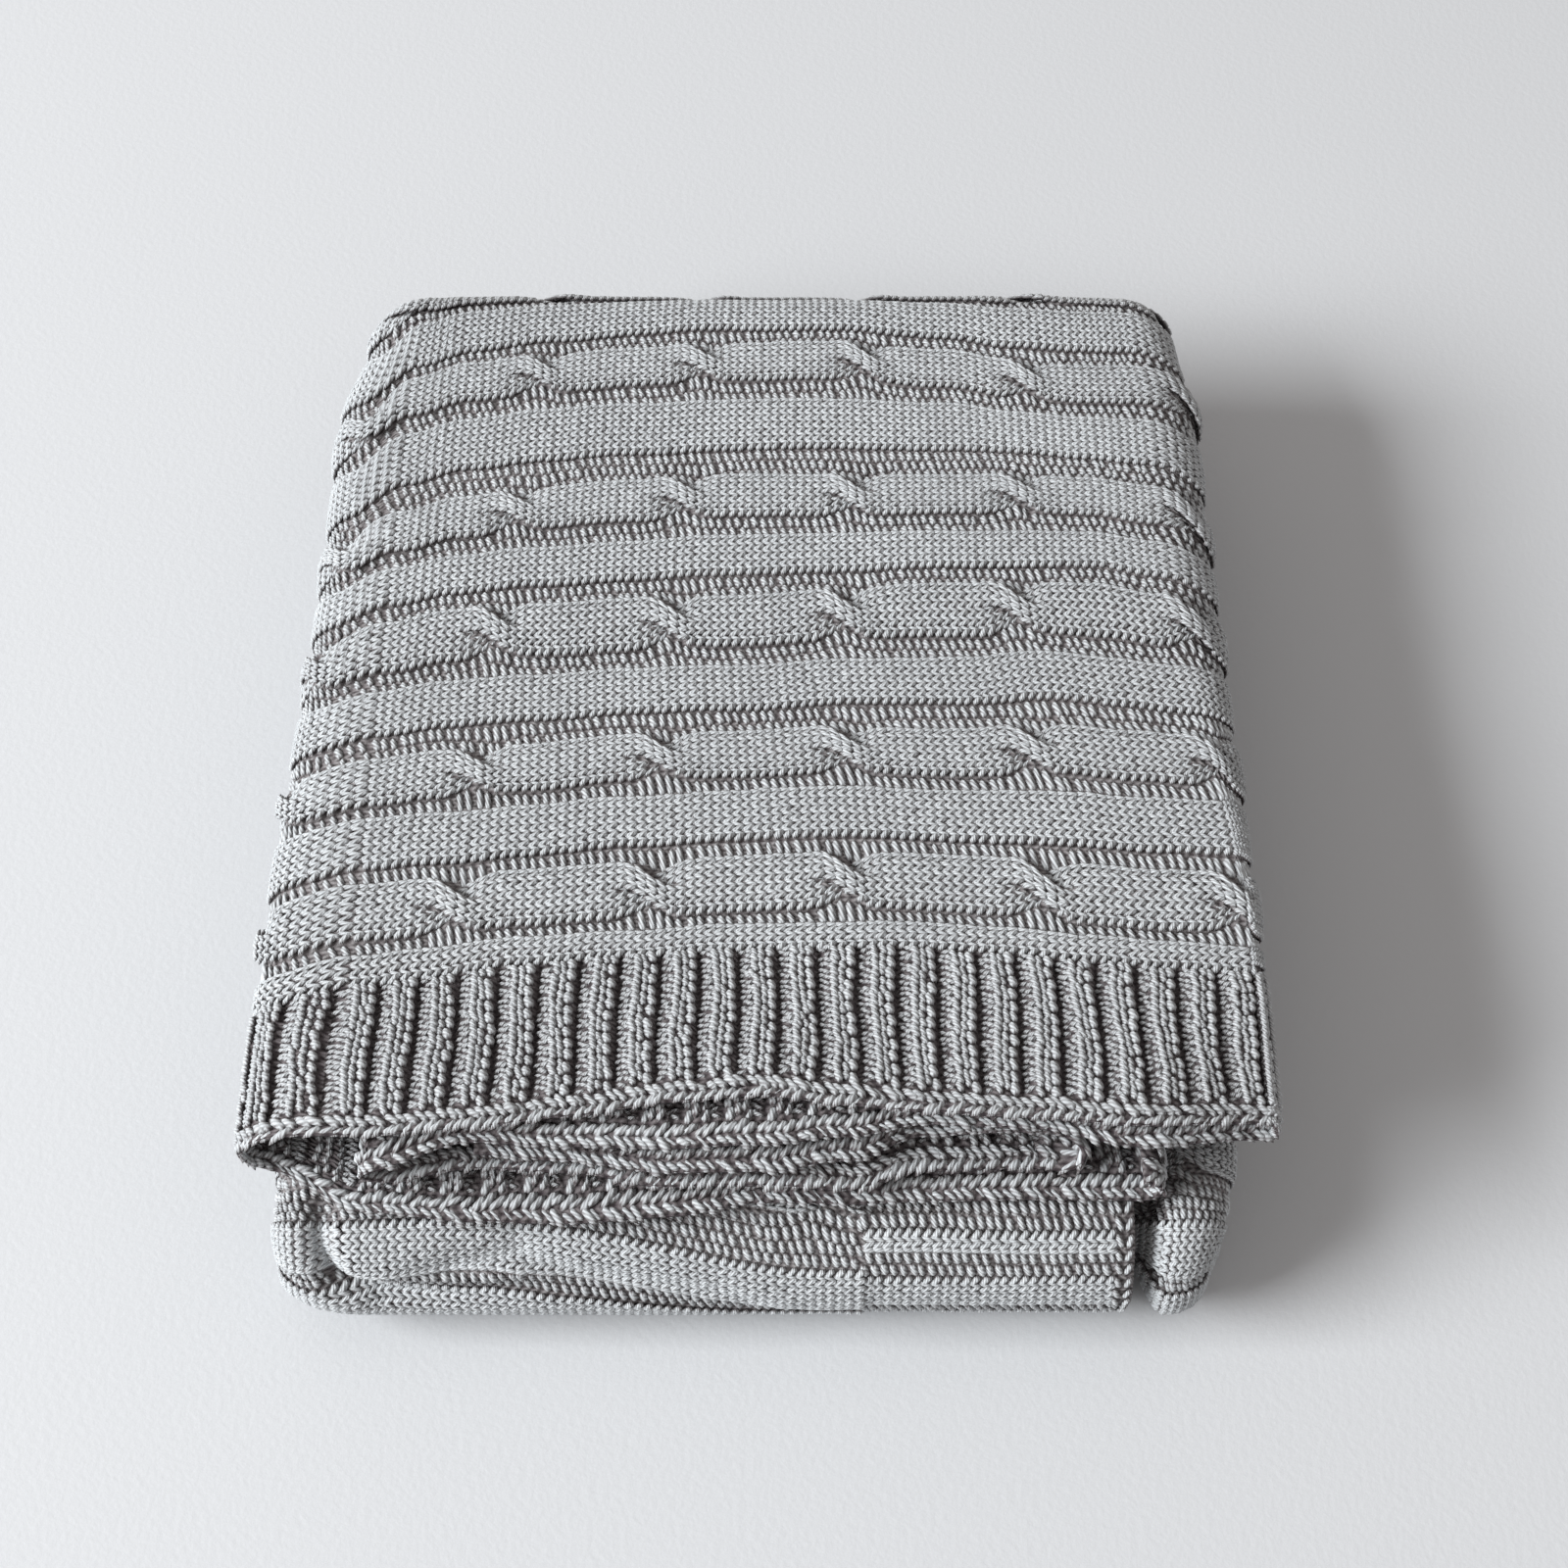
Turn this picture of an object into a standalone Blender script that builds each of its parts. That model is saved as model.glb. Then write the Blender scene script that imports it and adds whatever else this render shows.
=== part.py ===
"""Cable knit throw, folded into a bundle, in metres with +Z up.

The throw is one knitted panel with a ribbed band linked on along each long side.
It was folded across its length into a strip of five layers, and the strip was then
folded in a zigzag of three runs. Every point of the flat cloth is placed in two steps:
a section across the strip gives x and a height in the strip, and the zigzag then
carries that height along y and z.
"""

import math

import bmesh
import bpy

# Driving sizes
CLOTH = 0.003            # thickness of the knitted cloth
LAYER = 0.0068           # pitch of the five layers in a strip
RUN = 0.0345             # pitch of the three runs of the zigzag
SEAM_GAP = 0.0003        # clearance between the panel and a side band
HEM_Y = -0.197           # hem of the top layer
BACK_Y = 0.199           # centre of the back turn
FRONT_Y = -0.218         # centre of the front turn
REAR_Y = 0.172           # hidden hem, under the back of the bundle
BAND_DEPTH = 0.067       # depth of a ribbed side band
HALF_WIDTH = 0.193       # from the middle of the bundle to its side
RIB_HEIGHT = 0.0009
RIB_PROFILES = {2: (-1, 1), 3: (-1, 1, 1)}       # each rib's points, in rib heights
LAYER_RIBS = {"lower": 22, "face": 24, "second": 22, "fourth": 17, "core": 15}
BAND_HEIGHT = 0.0010     # how far plain bands and cables stand over the grooves
CABLE_HEIGHT = 0.0026    # crown of a cable's lobe over its band
CABLE_PITCH = 0.0730     # distance between two crossings
CROSSING_X = -0.0450     # one crossing of every cable, on the top face
SIDE_SHIFT = 0.08        # drift of the crossings along x for each metre towards the back
SLANT = 0.35             # how far a crossing leans over the width of its cable, in pitches
CABLE_EDGE = 0.12        # the cable's crown is an arch whose outermost part is left out
LOBE_FULLNESS = 0.7      # below 1, a lobe has a flatter top
LOBE_MEAN = 0.35         # share of a lobe that lies below its band's level
TURN = RUN / 2
OUTSIDE = TURN + 2 * LAYER + CLOTH / 2
LOW_Z = 2 * LAYER + CLOTH / 2
MIDDLE_Z = LOW_Z + RUN
TOP_Z = MIDDLE_Z + RUN

# Layers of the strip, followed from the free end below to the free end inside
LAYER_NAMES = ("lower", "face", "second", "fourth", "core")
LAYER_LEVEL = {"lower": -2, "face": 2, "second": 1, "fourth": -1, "core": 0}
LEFT_TURN_X = -0.160
LEFT_REACH = 0.033
LEFT_SPREAD = 0.006      # how much further the left turn bulges towards the hem
INNER_TURN_X = -0.134
INNER_REACH = 0.018
CORE_END_X = -0.110
LOWER_END_X = 0.141
CURL_X = 0.142
CURL_RADIUS = 0.008
CURL_LENGTH = 0.025
LOOSE = 0.25             # extra spacing of the layers at the hem
HEM_LIFT = {"second": 0.0012, "core": 0.0045, "fourth": -0.0040}
HEM_LIFT_START, HEM_LIFT_END = 0.050, 0.100
SIDE_LOOP_START, SIDE_LOOP_END = 0.143, 0.167
SIDE_LOOP_REACH = 0.024
CORE_LOOP_X, CORE_LOOP_HEM_X = 0.105, 0.110
CORE_LOOP_REACH = 0.011

# How the bundle departs from straight layers
RIGHT_EDGE, LEFT_EDGE = 0.140, -0.145    # past these, a corner draws the sides in
RIGHT_CORNER, LEFT_CORNER = 0.22, 0.34   # at the back turn
RIGHT_TURN, LEFT_TURN = 0.44, 0.12       # at the front turn
RAISE_HEM = 0.0015
SIDE_FALL = 0.0035
RIGHT_DROOP = 0.0070
HUMP_HEIGHT, HUMP_X, HUMP_WIDTH = 0.0040, -0.005, 0.045
CURL_FROM = 0.25                         # share of the hem's looseness where the curl starts
SIDE_CHANGE_FROM, SIDE_CHANGE_TO = -0.12, 0.07    # y range where the sides change shape
CORNER_FROM = 0.15                       # y where the back corners start to draw in
DRAWN_AT_START = 0.6                     # share of a corner's draw where its turn starts
TURN_DRAW_FROM, TURN_DRAW_TO = 0.75, 0.30         # shares of the runs beside the front turn

# How far each layer's hem stands in front of HEM_Y, in millimetres
HEM_COLUMNS = ("x", "face", "second", "core", "fourth", "lower")
HEM_ADVANCE = (
    (-190, 12, 20, 15, 20, 14),
    (-150, 14, 24, 15, 22, 30),
    (-110, 11, 13, 14, 16, 34),
    (-75, 7, 15, 17, 18, 35),
    (-35, 2, 17, 23, 25, 33),
    (0, 0, 16, 23, 25, 28),
    (30, 3, 12, 18, 26, 28),
    (60, 5, 6, 7, 17, 26),
    (100, 7, 8, 7, 14, 25),
    (140, 10, 15, 12, 20, 25),
    (190, 5, 8, 12, 20, 25),
)

# Knitted bands on the top face: kind, front edge and back edge in millimetres of y
BANDS = (
    ("chain", -130, -119),
    ("cable", -113, -88),
    ("plain", -80, -57),
    ("cable", -50, -28),
    ("plain", -16, 6),
    ("cable", 16, 42),
    ("plain", 53, 74),
    ("cable", 85, 108),
    ("plain", 124, 153),
    ("cable", 164, 186),
    ("plain", 195, 219),
    ("cable", 229, 252),
    ("plain", 263, 286),
)

# Soft troughs in the cloth on the front turn: x and height of the line, depth, in millimetres
OUTER_TROUGH = (
    (-172, 70, 6.0),
    (-170, 56, 9.0),
    (-164, 44, 10.0),
    (-148, 37, 8.0),
    (-115, 38, 4.0),
    (-85, 43, 3.0),
    (-50, 43, 2.5),
    (-15, 36, 0.0),
)
INNER_TROUGH = (
    (-145, 47, 0.0),
    (-120, 51, 5.0),
    (-95, 55, 7.0),
    (-72, 49, 6.0),
    (-46, 46, 4.0),
    (-20, 42, 3.0),
    (5, 32, 0.0),
)
TROUGH_WIDTH = 0.0065
CENTRE_X = (HALF_WIDTH + LEFT_TURN_X - LEFT_REACH - LEFT_SPREAD) / 2
CENTRE_Y = (FRONT_Y + BACK_Y + BAND_HEIGHT) / 2
ROW_CLEARANCE = 0.004    # no row of points lies nearer to the start of the back turn
EDGE = 0.0004            # a point this near a band's edge is on the band


def ramp(value, low, high):
    """Smooth step from 0 at low to 1 at high."""
    share = min(max((value - low) / (high - low), 0.0), 1.0)
    return share * share * (3 - 2 * share)


def mix(first, second, share):
    return first + (second - first) * share


def table_value(table, columns, column, x):
    """Read a column of a table at x, with smooth steps between its rows."""
    place = columns.index(column)
    rows = [(row[0], row[place]) for row in table]
    if x <= rows[0][0]:
        return rows[0][1]
    for (x_low, low), (x_high, high) in zip(rows, rows[1:]):
        if x <= x_high:
            return mix(low, high, ramp(x, x_low, x_high))
    return rows[-1][1]


class Place:
    """A station along the zigzag: which stretch, how far along it, and how loose it is."""

    def __init__(self, stretch, share):
        self.stretch = stretch
        self.share = share
        self.y = {
            "top": mix(HEM_Y, BACK_Y, share),
            "back": BACK_Y,
            "middle": mix(BACK_Y, FRONT_Y, share),
            "front": FRONT_Y,
            "bottom": mix(FRONT_Y, REAR_Y, share),
        }[stretch]
        in_top = stretch == "top"
        self.hem = 1 - ramp(self.y, HEM_Y, HEM_Y + BAND_DEPTH) if in_top else 0.0
        self.curl = ramp(self.hem, CURL_FROM, 1.0)
        self.slide = max(1 - (self.y - HEM_Y) / BAND_DEPTH, 0.0) if in_top else 0.0
        self.loop = ramp(self.y, SIDE_CHANGE_FROM, SIDE_CHANGE_TO) if in_top else 1.0
        self.spread = 1 - self.loop
        self.crown = {"top": 1.0, "back": 1 - ramp(share, 0.2, 0.8)}.get(stretch, 0.0)
        at_turn = mix(DRAWN_AT_START, 1.0, math.sin(math.pi * share))
        near_back = DRAWN_AT_START * ramp(self.y, CORNER_FROM, BACK_Y)
        self.corner = {"top": near_back, "back": at_turn, "middle": near_back}.get(stretch, 0.0)
        self.turn = {
            "middle": DRAWN_AT_START * ramp(share, TURN_DRAW_FROM, 1.0),
            "front": at_turn,
            "bottom": DRAWN_AT_START * (1 - ramp(share, 0.0, TURN_DRAW_TO)),
        }.get(stretch, 0.0)

    def pattern(self):
        """Length along the top face and round the back turn, which the bands follow."""
        return self.y + math.pi * OUTSIDE * self.share * (self.stretch == "back")


def layer_height(name, x, place):
    """Height of a layer in the strip at x."""
    height = LAYER_LEVEL[name] * LAYER * (1 + LOOSE * place.hem)
    if name == "second":
        fall = place.loop * ramp(x, SIDE_LOOP_START, SIDE_LOOP_END)
        height = mix(height, -2 * LAYER, fall)
    return height + HEM_LIFT.get(name, 0.0) * place.hem * ramp(x, HEM_LIFT_START, HEM_LIFT_END)


def turn_data(name, place):
    """Where the turn after a layer starts, and how far it reaches past that x."""
    right_reach = mix(LAYER / 2, SIDE_LOOP_REACH, place.loop)
    loop_reach = mix(LAYER / 2, CORE_LOOP_REACH, place.hem)
    loop_x = mix(CORE_LOOP_X, CORE_LOOP_HEM_X, place.hem)
    left_reach = LEFT_REACH + LEFT_SPREAD * place.spread
    return {
        "lower": (LEFT_TURN_X, -left_reach),
        "face": (HALF_WIDTH - right_reach, right_reach),
        "second": (INNER_TURN_X, -INNER_REACH),
        "fourth": (loop_x, loop_reach),
        "core": (CORE_END_X, 0.0),
    }[name]


def section(name, kind, share, place):
    """Point of the section across the strip: x, height and share of the next layer."""
    index = LAYER_NAMES.index(name)
    end_x, reach = turn_data(name, place)
    if kind == "turn":
        after = LAYER_NAMES[index + 1]
        first = layer_height(name, end_x, place)
        second = layer_height(after, end_x, place)
        angle = math.pi * share
        x = end_x + reach * math.sin(angle)
        blend = (1 - math.cos(angle)) / 2
        return x, mix(first, second, blend), blend
    if index == 0:
        radius = CURL_RADIUS / max(place.curl, 0.001)
        flat_x = mix(LOWER_END_X - CURL_LENGTH, CURL_X, place.curl)
        length = CURL_LENGTH + flat_x - end_x
        from_end = share * length
        if from_end < CURL_LENGTH:
            angle = (CURL_LENGTH - from_end) / radius
            lift = radius * (1 - math.cos(angle))
            return flat_x + radius * math.sin(angle), layer_height(name, 0, place) + lift, 0.0
        x = flat_x - (from_end - CURL_LENGTH)
        return x, layer_height(name, x, place), 0.0
    start_x = turn_data(LAYER_NAMES[index - 1], place)[0]
    x = mix(start_x, end_x, share)
    return x, layer_height(name, x, place), 0.0


def trough(x, z):
    """Depth of the soft troughs at a point of the front turn."""
    deepest = 0.0
    for table in (OUTER_TROUGH, INNER_TROUGH):
        points = [(row[0] / 1000, row[1] / 1000, row[2] / 1000) for row in table]
        for (x0, z0, depth0), (x1, z1, depth1) in zip(points, points[1:]):
            run_x, run_z = x1 - x0, z1 - z0
            share = ((x - x0) * run_x + (z - z0) * run_z) / (run_x ** 2 + run_z ** 2)
            share = min(max(share, 0.0), 1.0)
            away = math.hypot(x - x0 - share * run_x, z - z0 - share * run_z)
            depth = mix(depth0, depth1, share) * math.exp(-((away / TROUGH_WIDTH) ** 2))
            deepest = max(deepest, depth)
    return deepest


def carry(x, height, advance, place):
    """Carry a point of the section to its place in the bundle."""
    if x > RIGHT_EDGE:
        draw_in = (1 - RIGHT_CORNER * place.corner) * (1 - RIGHT_TURN * place.turn)
        x = RIGHT_EDGE + (x - RIGHT_EDGE) * draw_in
    elif x < LEFT_EDGE:
        draw_in = (1 - LEFT_CORNER * place.corner) * (1 - LEFT_TURN * place.turn)
        x = LEFT_EDGE + (x - LEFT_EDGE) * draw_in
    hump = HUMP_HEIGHT * math.exp(-(((x - HUMP_X) / HUMP_WIDTH) ** 2))
    droop = RIGHT_DROOP * ramp(x, RIGHT_EDGE, HALF_WIDTH)
    height += place.hem * (RAISE_HEM + hump - droop)
    height -= place.crown * SIDE_FALL * abs(x / HALF_WIDTH) ** 4
    if place.stretch == "top":
        return x, place.y - advance, TOP_Z + height
    if place.stretch == "middle":
        return x, place.y, MIDDLE_Z - height
    if place.stretch == "bottom":
        return x, place.y, LOW_Z + height
    angle = math.pi * place.share
    if place.stretch == "back":
        radius = TURN + height
        return x, BACK_Y + radius * math.sin(angle), TOP_Z - TURN + radius * math.cos(angle)
    radius = TURN - height
    centre_z = LOW_Z + TURN
    depth = trough(x, centre_z + radius * math.cos(angle))
    radius -= depth * (2 * LAYER - height) / (4 * LAYER)
    return x, FRONT_Y - radius * math.sin(angle), centre_z + radius * math.cos(angle)


def band_relief(x, length):
    """Height of the plain bands and the cables at a point of the outer face."""
    for kind, front, back in BANDS:
        if front / 1000 - EDGE <= length <= back / 1000 + EDGE:
            if kind != "cable" or length > BACK_Y:
                return BAND_HEIGHT
            across = (length * 1000 - front) / (back - front)
            phase = (x - CROSSING_X - SIDE_SHIFT * length) / CABLE_PITCH
            phase = (phase + SLANT * (across - 0.5)) % 1.0
            crown = math.sin(math.pi * mix(CABLE_EDGE, 1 - CABLE_EDGE, across))
            lobe = math.sin(math.pi * phase) ** LOBE_FULLNESS - LOBE_MEAN
            return BAND_HEIGHT + CABLE_HEIGHT * crown * lobe
    return -BAND_HEIGHT


def raised_share(name, kind, share, place):
    """How much of the raised bands a column shows: all on the face, fading down its sides."""
    if place.stretch not in ("top", "back"):
        return 0.0
    if kind == "turn":
        return {"lower": ramp(share, 0.5, 0.8), "face": 1 - ramp(share, 0.2, 0.5)}.get(name, 0.0)
    return float(name == "face")


def cloth_point(column, place, ribs):
    """Place one point of the flat cloth: a column station and a row station."""
    name, kind, share, rib = column
    x, height, blend = section(name, kind, share, place)
    reach = table_value(HEM_ADVANCE, HEM_COLUMNS, name, x * 1000)
    if kind == "turn":
        after = LAYER_NAMES[LAYER_NAMES.index(name) + 1]
        reach = mix(reach, table_value(HEM_ADVANCE, HEM_COLUMNS, after, x * 1000), blend)
    if ribs:
        lowest = place.stretch == "bottom" and name == "lower"
        height += (rib + lowest) * RIB_HEIGHT
    else:
        shown = raised_share(name, kind, share, place)
        height += shown * band_relief(x, place.pattern()) if shown else 0.0
    return carry(x, height, reach / 1000 * place.slide, place)


def spread(count):
    return [step / count for step in range(count + 1)]


def columns_from(counts):
    """Column stations: each layer and each turn cut into the given number of strips."""
    stations = []
    for name in LAYER_NAMES:
        stations += [(name, "layer", share, 0) for share in spread(counts[name])[:-1]]
        if name == "core":
            stations.append((name, "layer", 1.0, 0))
        else:
            shares = spread(counts[name + " turn"])[:-1]
            stations += [(name, "turn", share, 0) for share in shares]
    return stations


def rib_columns(face_steps, plain_layers):
    """Column stations of a side band, with each rib's groove and ridge."""
    stations = []
    for name in LAYER_NAMES:
        steps = face_steps if name == "face" else 2
        profile = RIB_PROFILES[steps]
        if name in plain_layers:
            stations += [(name, "layer", share, 0) for share in spread(4)[:-1]]
        else:
            for number, share in enumerate(spread(LAYER_RIBS[name] * steps)[:-1]):
                stations.append((name, "layer", share, profile[number % steps]))
        if name == "core":
            stations.append((name, "layer", 1.0, 0))
        else:
            for number, share in enumerate(spread(8 if name == "lower" else 6)[:-1]):
                rib = RIB_PROFILES[2][number % 2] if name == "lower" else 0
                stations.append((name, "turn", share, rib))
    return stations


def cloth_sheet(bm, columns, rows):
    """Lay the flat cloth as a grid, and say which column and row each point is on."""
    across, along = len(columns), len(rows)
    bmesh.ops.create_grid(bm, x_segments=across - 1, y_segments=along - 1, size=1.0)
    order = sorted(bm.verts, key=lambda vert: (round(vert.co.y, 6), round(vert.co.x, 6)))
    return {vert: (number % across, number // across) for number, vert in enumerate(order)}


def thin_out(bm, grid, columns, rows, fine_columns, fine_rows, raised):
    """Dissolve the fine lines of the grid where no raised pattern needs them."""
    extra = []
    for edge in bm.edges:
        ends = [grid[vert] for vert in edge.verts]
        i, j = min(end[0] for end in ends), min(end[1] for end in ends)
        across = ends[0][1] == ends[1][1]
        fine = rows[j] in fine_rows if across else columns[i] in fine_columns
        if fine and not all(raised(columns[end[0]], rows[end[1]]) for end in ends):
            extra.append(edge)
    bmesh.ops.dissolve_edges(bm, edges=extra, use_verts=True, use_face_split=False)


def fold(bm, grid, columns, rows, ribs):
    """Move every point of the flat grid to its place in the bundle."""
    places = [Place(stretch, share) for stretch, share in rows]
    for vert in bm.verts:
        column, row = grid[vert]
        vert.co = cloth_point(columns[column], places[row], ribs)


def cloth_object(name, bm, material, collection):
    """Turn the folded sheet into a closed solid of the cloth's thickness."""
    bmesh.ops.recalc_face_normals(bm, faces=bm.faces)
    mesh = bpy.data.meshes.new(name)
    bm.to_mesh(mesh)
    bm.free()
    obj = bpy.data.objects.new(name, mesh)
    obj.location = (-CENTRE_X, -CENTRE_Y, 0.0)
    collection.objects.link(obj)
    solid = obj.modifiers.new("thickness", "SOLIDIFY")
    solid.thickness = CLOTH
    solid.offset = 0.0
    mesh.materials.append(material)
    return obj


def top_share(y):
    return (y - HEM_Y) / (BACK_Y - HEM_Y)


def band_rows():
    """Row stations on the top run and the back turn, at the edges of the raised bands."""
    rows = [("top", top_share(BANDS[0][2] / 1000))]
    for (kind, front, rear), ahead in zip(BANDS[1:], BANDS):
        front, rear = front / 1000, rear / 1000
        groove = (ahead[2] / 1000 + front) / 2
        inside = [0.5] if kind == "cable" and rear < BACK_Y else []
        for y in [groove, front] + [mix(front, rear, share) for share in inside] + [rear]:
            if y < BACK_Y - ROW_CLEARANCE:
                rows.append(("top", top_share(y)))
            elif y > BACK_Y + ROW_CLEARANCE:
                rows.append(("back", (y - BACK_Y) / (math.pi * OUTSIDE)))
    return rows


def throw_panel(material, collection):
    """The main panel with its cables: one sheet, folded twice."""
    counts = {
        "lower": 4, "lower turn": 8, "face": 9, "face turn": 6, "second": 4,
        "second turn": 4, "fourth": 3, "fourth turn": 4, "core": 2,
    }
    coarse = columns_from(counts)
    fine_face = [("face", "layer", share, 0) for share in spread(27)]
    lower_shares = spread(12)[:8] + spread(36)[24:]
    fine_lower = [("lower", "layer", share, 0) for share in lower_shares]
    fine_columns = [s for s in fine_face + fine_lower if s not in coarse and 0 < s[2] < 1]
    order = {name: number for number, name in enumerate(LAYER_NAMES)}
    columns = sorted(coarse + fine_columns, key=lambda s: (order[s[0]], s[1] == "turn", s[2]))
    seam = top_share(HEM_Y + BAND_DEPTH + SEAM_GAP)
    rear_seam = (REAR_Y - BAND_DEPTH - SEAM_GAP - FRONT_Y) / (REAR_Y - FRONT_Y)
    base = [("top", mix(seam, 1, share)) for share in (0, 0.3, 0.6)]
    base += [("back", share) for share in spread(6)[:-1]]
    base += [("middle", 0.0), ("middle", 0.5)]
    base += [("front", share) for share in spread(6)]
    base += [("bottom", 0.12), ("bottom", 0.45), ("bottom", rear_seam)]
    fine_rows = [row for row in band_rows() if row not in base]
    fine_rows += [("front", share) for share in spread(12)[1::2]]
    stretches = ("top", "back", "middle", "front", "bottom")
    rows = sorted(base + fine_rows, key=lambda row: (stretches.index(row[0]), row[1]))

    def raised(column, row):
        """True where the top face or the front turn needs its fine lines."""
        name, kind, share = column[:3]
        if row[0] == "front":
            return name == "lower" or (name == "face" and kind == "turn")
        if row[0] in ("top", "back"):
            upper_left = name == "lower" and kind == "turn" and share >= 0.5
            upper_right = name == "face" and kind == "turn" and share <= 0.5
            return upper_left or upper_right or (name == "face" and kind == "layer")
        return False

    bm = bmesh.new()
    grid = cloth_sheet(bm, columns, rows)
    thin_out(bm, grid, columns, rows, fine_columns, fine_rows, raised)
    fold(bm, grid, columns, rows, False)
    return cloth_object("throw_panel", bm, material, collection)


def side_band(name, rows, face_steps, plain_layers, material, collection):
    """A ribbed side band, whose ribs stand across the panel's wales."""
    columns = rib_columns(face_steps, plain_layers)
    bm = bmesh.new()
    grid = cloth_sheet(bm, columns, rows)
    fold(bm, grid, columns, rows, True)
    return cloth_object(name, bm, material, collection)


def yarn(name, colour):
    """Matt knitted yarn."""
    material = bpy.data.materials.new(name)
    material.use_nodes = True
    surface = material.node_tree.nodes["Principled BSDF"]
    surface.inputs["Base Color"].default_value = (*colour, 1.0)
    surface.inputs["Roughness"].default_value = 0.85
    surface.inputs["Metallic"].default_value = 0.0
    return material


def clear_scene():
    for obj in list(bpy.data.objects):
        bpy.data.objects.remove(obj, do_unlink=True)


def main():
    clear_scene()
    collection = bpy.data.collections.new("cable_knit_throw")
    bpy.context.scene.collection.children.link(collection)
    throw_panel(yarn("cable_knit_yarn", (0.33, 0.35, 0.35)), collection)

    band_share = top_share(HEM_Y + BAND_DEPTH)
    front_rows = [("top", band_share * share) for share in (0.0, 0.5, 1.0)]
    front_yarn = yarn("front_rib_yarn", (0.32, 0.34, 0.34))
    side_band("front_side_band", front_rows, 3, (), front_yarn, collection)

    rear_start = (REAR_Y - BAND_DEPTH - FRONT_Y) / (REAR_Y - FRONT_Y)
    rear_rows = [("bottom", rear_start), ("bottom", 1.0)]
    rear_yarn = yarn("rear_rib_yarn", (0.32, 0.34, 0.34))
    side_band("rear_side_band", rear_rows, 2, ("second", "fourth", "core"), rear_yarn, collection)


main()
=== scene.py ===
# %% [markdown]
# # A folded cable knit throw
# The throw is one knitted panel with a ribbed band along each long side. It is folded
# across its length into a strip of five layers, and the strip is folded in a zigzag.
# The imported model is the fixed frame: solids of the cloth, without stitches. This lesson
# dresses them: first a finer cloth on the same folds, then the yarn of its stitches.

# %% Load the frame
import math
from types import SimpleNamespace

import bmesh
import bpy
import numpy as np
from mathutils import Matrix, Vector
from mathutils.bvhtree import BVHTree


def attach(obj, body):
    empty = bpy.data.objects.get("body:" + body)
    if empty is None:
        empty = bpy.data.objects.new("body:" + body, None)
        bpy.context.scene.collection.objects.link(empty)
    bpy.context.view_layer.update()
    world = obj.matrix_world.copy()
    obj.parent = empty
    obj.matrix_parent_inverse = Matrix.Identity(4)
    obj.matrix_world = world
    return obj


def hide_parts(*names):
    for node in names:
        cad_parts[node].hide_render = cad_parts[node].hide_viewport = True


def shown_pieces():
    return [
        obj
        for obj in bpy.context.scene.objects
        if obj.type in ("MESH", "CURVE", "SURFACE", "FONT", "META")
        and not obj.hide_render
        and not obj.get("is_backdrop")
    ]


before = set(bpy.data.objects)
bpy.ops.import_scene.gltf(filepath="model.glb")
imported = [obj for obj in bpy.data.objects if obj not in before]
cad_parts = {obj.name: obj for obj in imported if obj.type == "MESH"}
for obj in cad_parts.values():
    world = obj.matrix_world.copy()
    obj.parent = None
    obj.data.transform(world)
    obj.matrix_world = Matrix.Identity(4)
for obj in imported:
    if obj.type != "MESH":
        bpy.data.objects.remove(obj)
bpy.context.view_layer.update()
chance = np.random.default_rng(11)

# %% [markdown]
# ## The folds
# Every point of the flat cloth has two lengths: `u` runs along the cables, through the
# five layers of the strip, and `v` runs across them, along the zigzag. A section across
# the strip turns `u` into x and a height in the strip. The zigzag then carries that
# height along y and z. The sizes are the solids' own, so the cloth lies where they are.

# %% Sizes of the bundle, in metres
CLOTH = 0.003
LAYER = 0.0068
RUN = 0.0345
TURN = RUN / 2
HEM_Y, BACK_Y, FRONT_Y, REAR_Y = -0.197, 0.199, -0.218, 0.172
BAND_DEPTH = 0.067
SEAM_GAP = 0.0003
HALF_WIDTH = 0.193
OUTSIDE = TURN + 2 * LAYER + CLOTH / 2
LOW_Z = 2 * LAYER + CLOTH / 2
MIDDLE_Z = LOW_Z + RUN
TOP_Z = MIDDLE_Z + RUN

LEFT_TURN_X, LEFT_REACH, LEFT_SPREAD = -0.160, 0.033, 0.006
INNER_TURN_X, INNER_REACH = -0.134, 0.018
CORE_END_X, LOWER_END_X = -0.110, 0.141
CURL_X, CURL_RADIUS, CURL_LENGTH = 0.142, 0.008, 0.025
SIDE_LOOP_REACH, CORE_LOOP_REACH = 0.024, 0.011
SHIFT = np.array([0.003, 0.009, 0.0])     # the bundle's centre lies on the frame's origin

LEVEL = {"lower": -2, "face": 2, "second": 1, "fourth": -1, "core": 0}
HEM_LIFT = {"second": 0.0012, "core": 0.0045, "fourth": -0.0040}
# x, then how far the hem of each layer stands in front of HEM_Y, in millimetres
HEM_ADVANCE = np.array([
    # x, face, second, core, fourth, lower
    (-190, 12, 20, 15, 20, 14),
    (-150, 14, 24, 15, 22, 30),
    (-110, 11, 13, 14, 16, 34),
    (-75, 7, 15, 17, 18, 35),
    (-35, 2, 17, 23, 25, 33),
    (0, 0, 16, 23, 25, 28),
    (30, 3, 12, 18, 26, 28),
    (60, 5, 6, 7, 17, 26),
    (100, 7, 8, 7, 14, 25),
    (140, 10, 15, 12, 20, 25),
    (190, 5, 8, 12, 20, 25),
]) / 1000
HEM_COLUMN = {"face": 1, "second": 2, "core": 3, "fourth": 4, "lower": 5}
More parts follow.
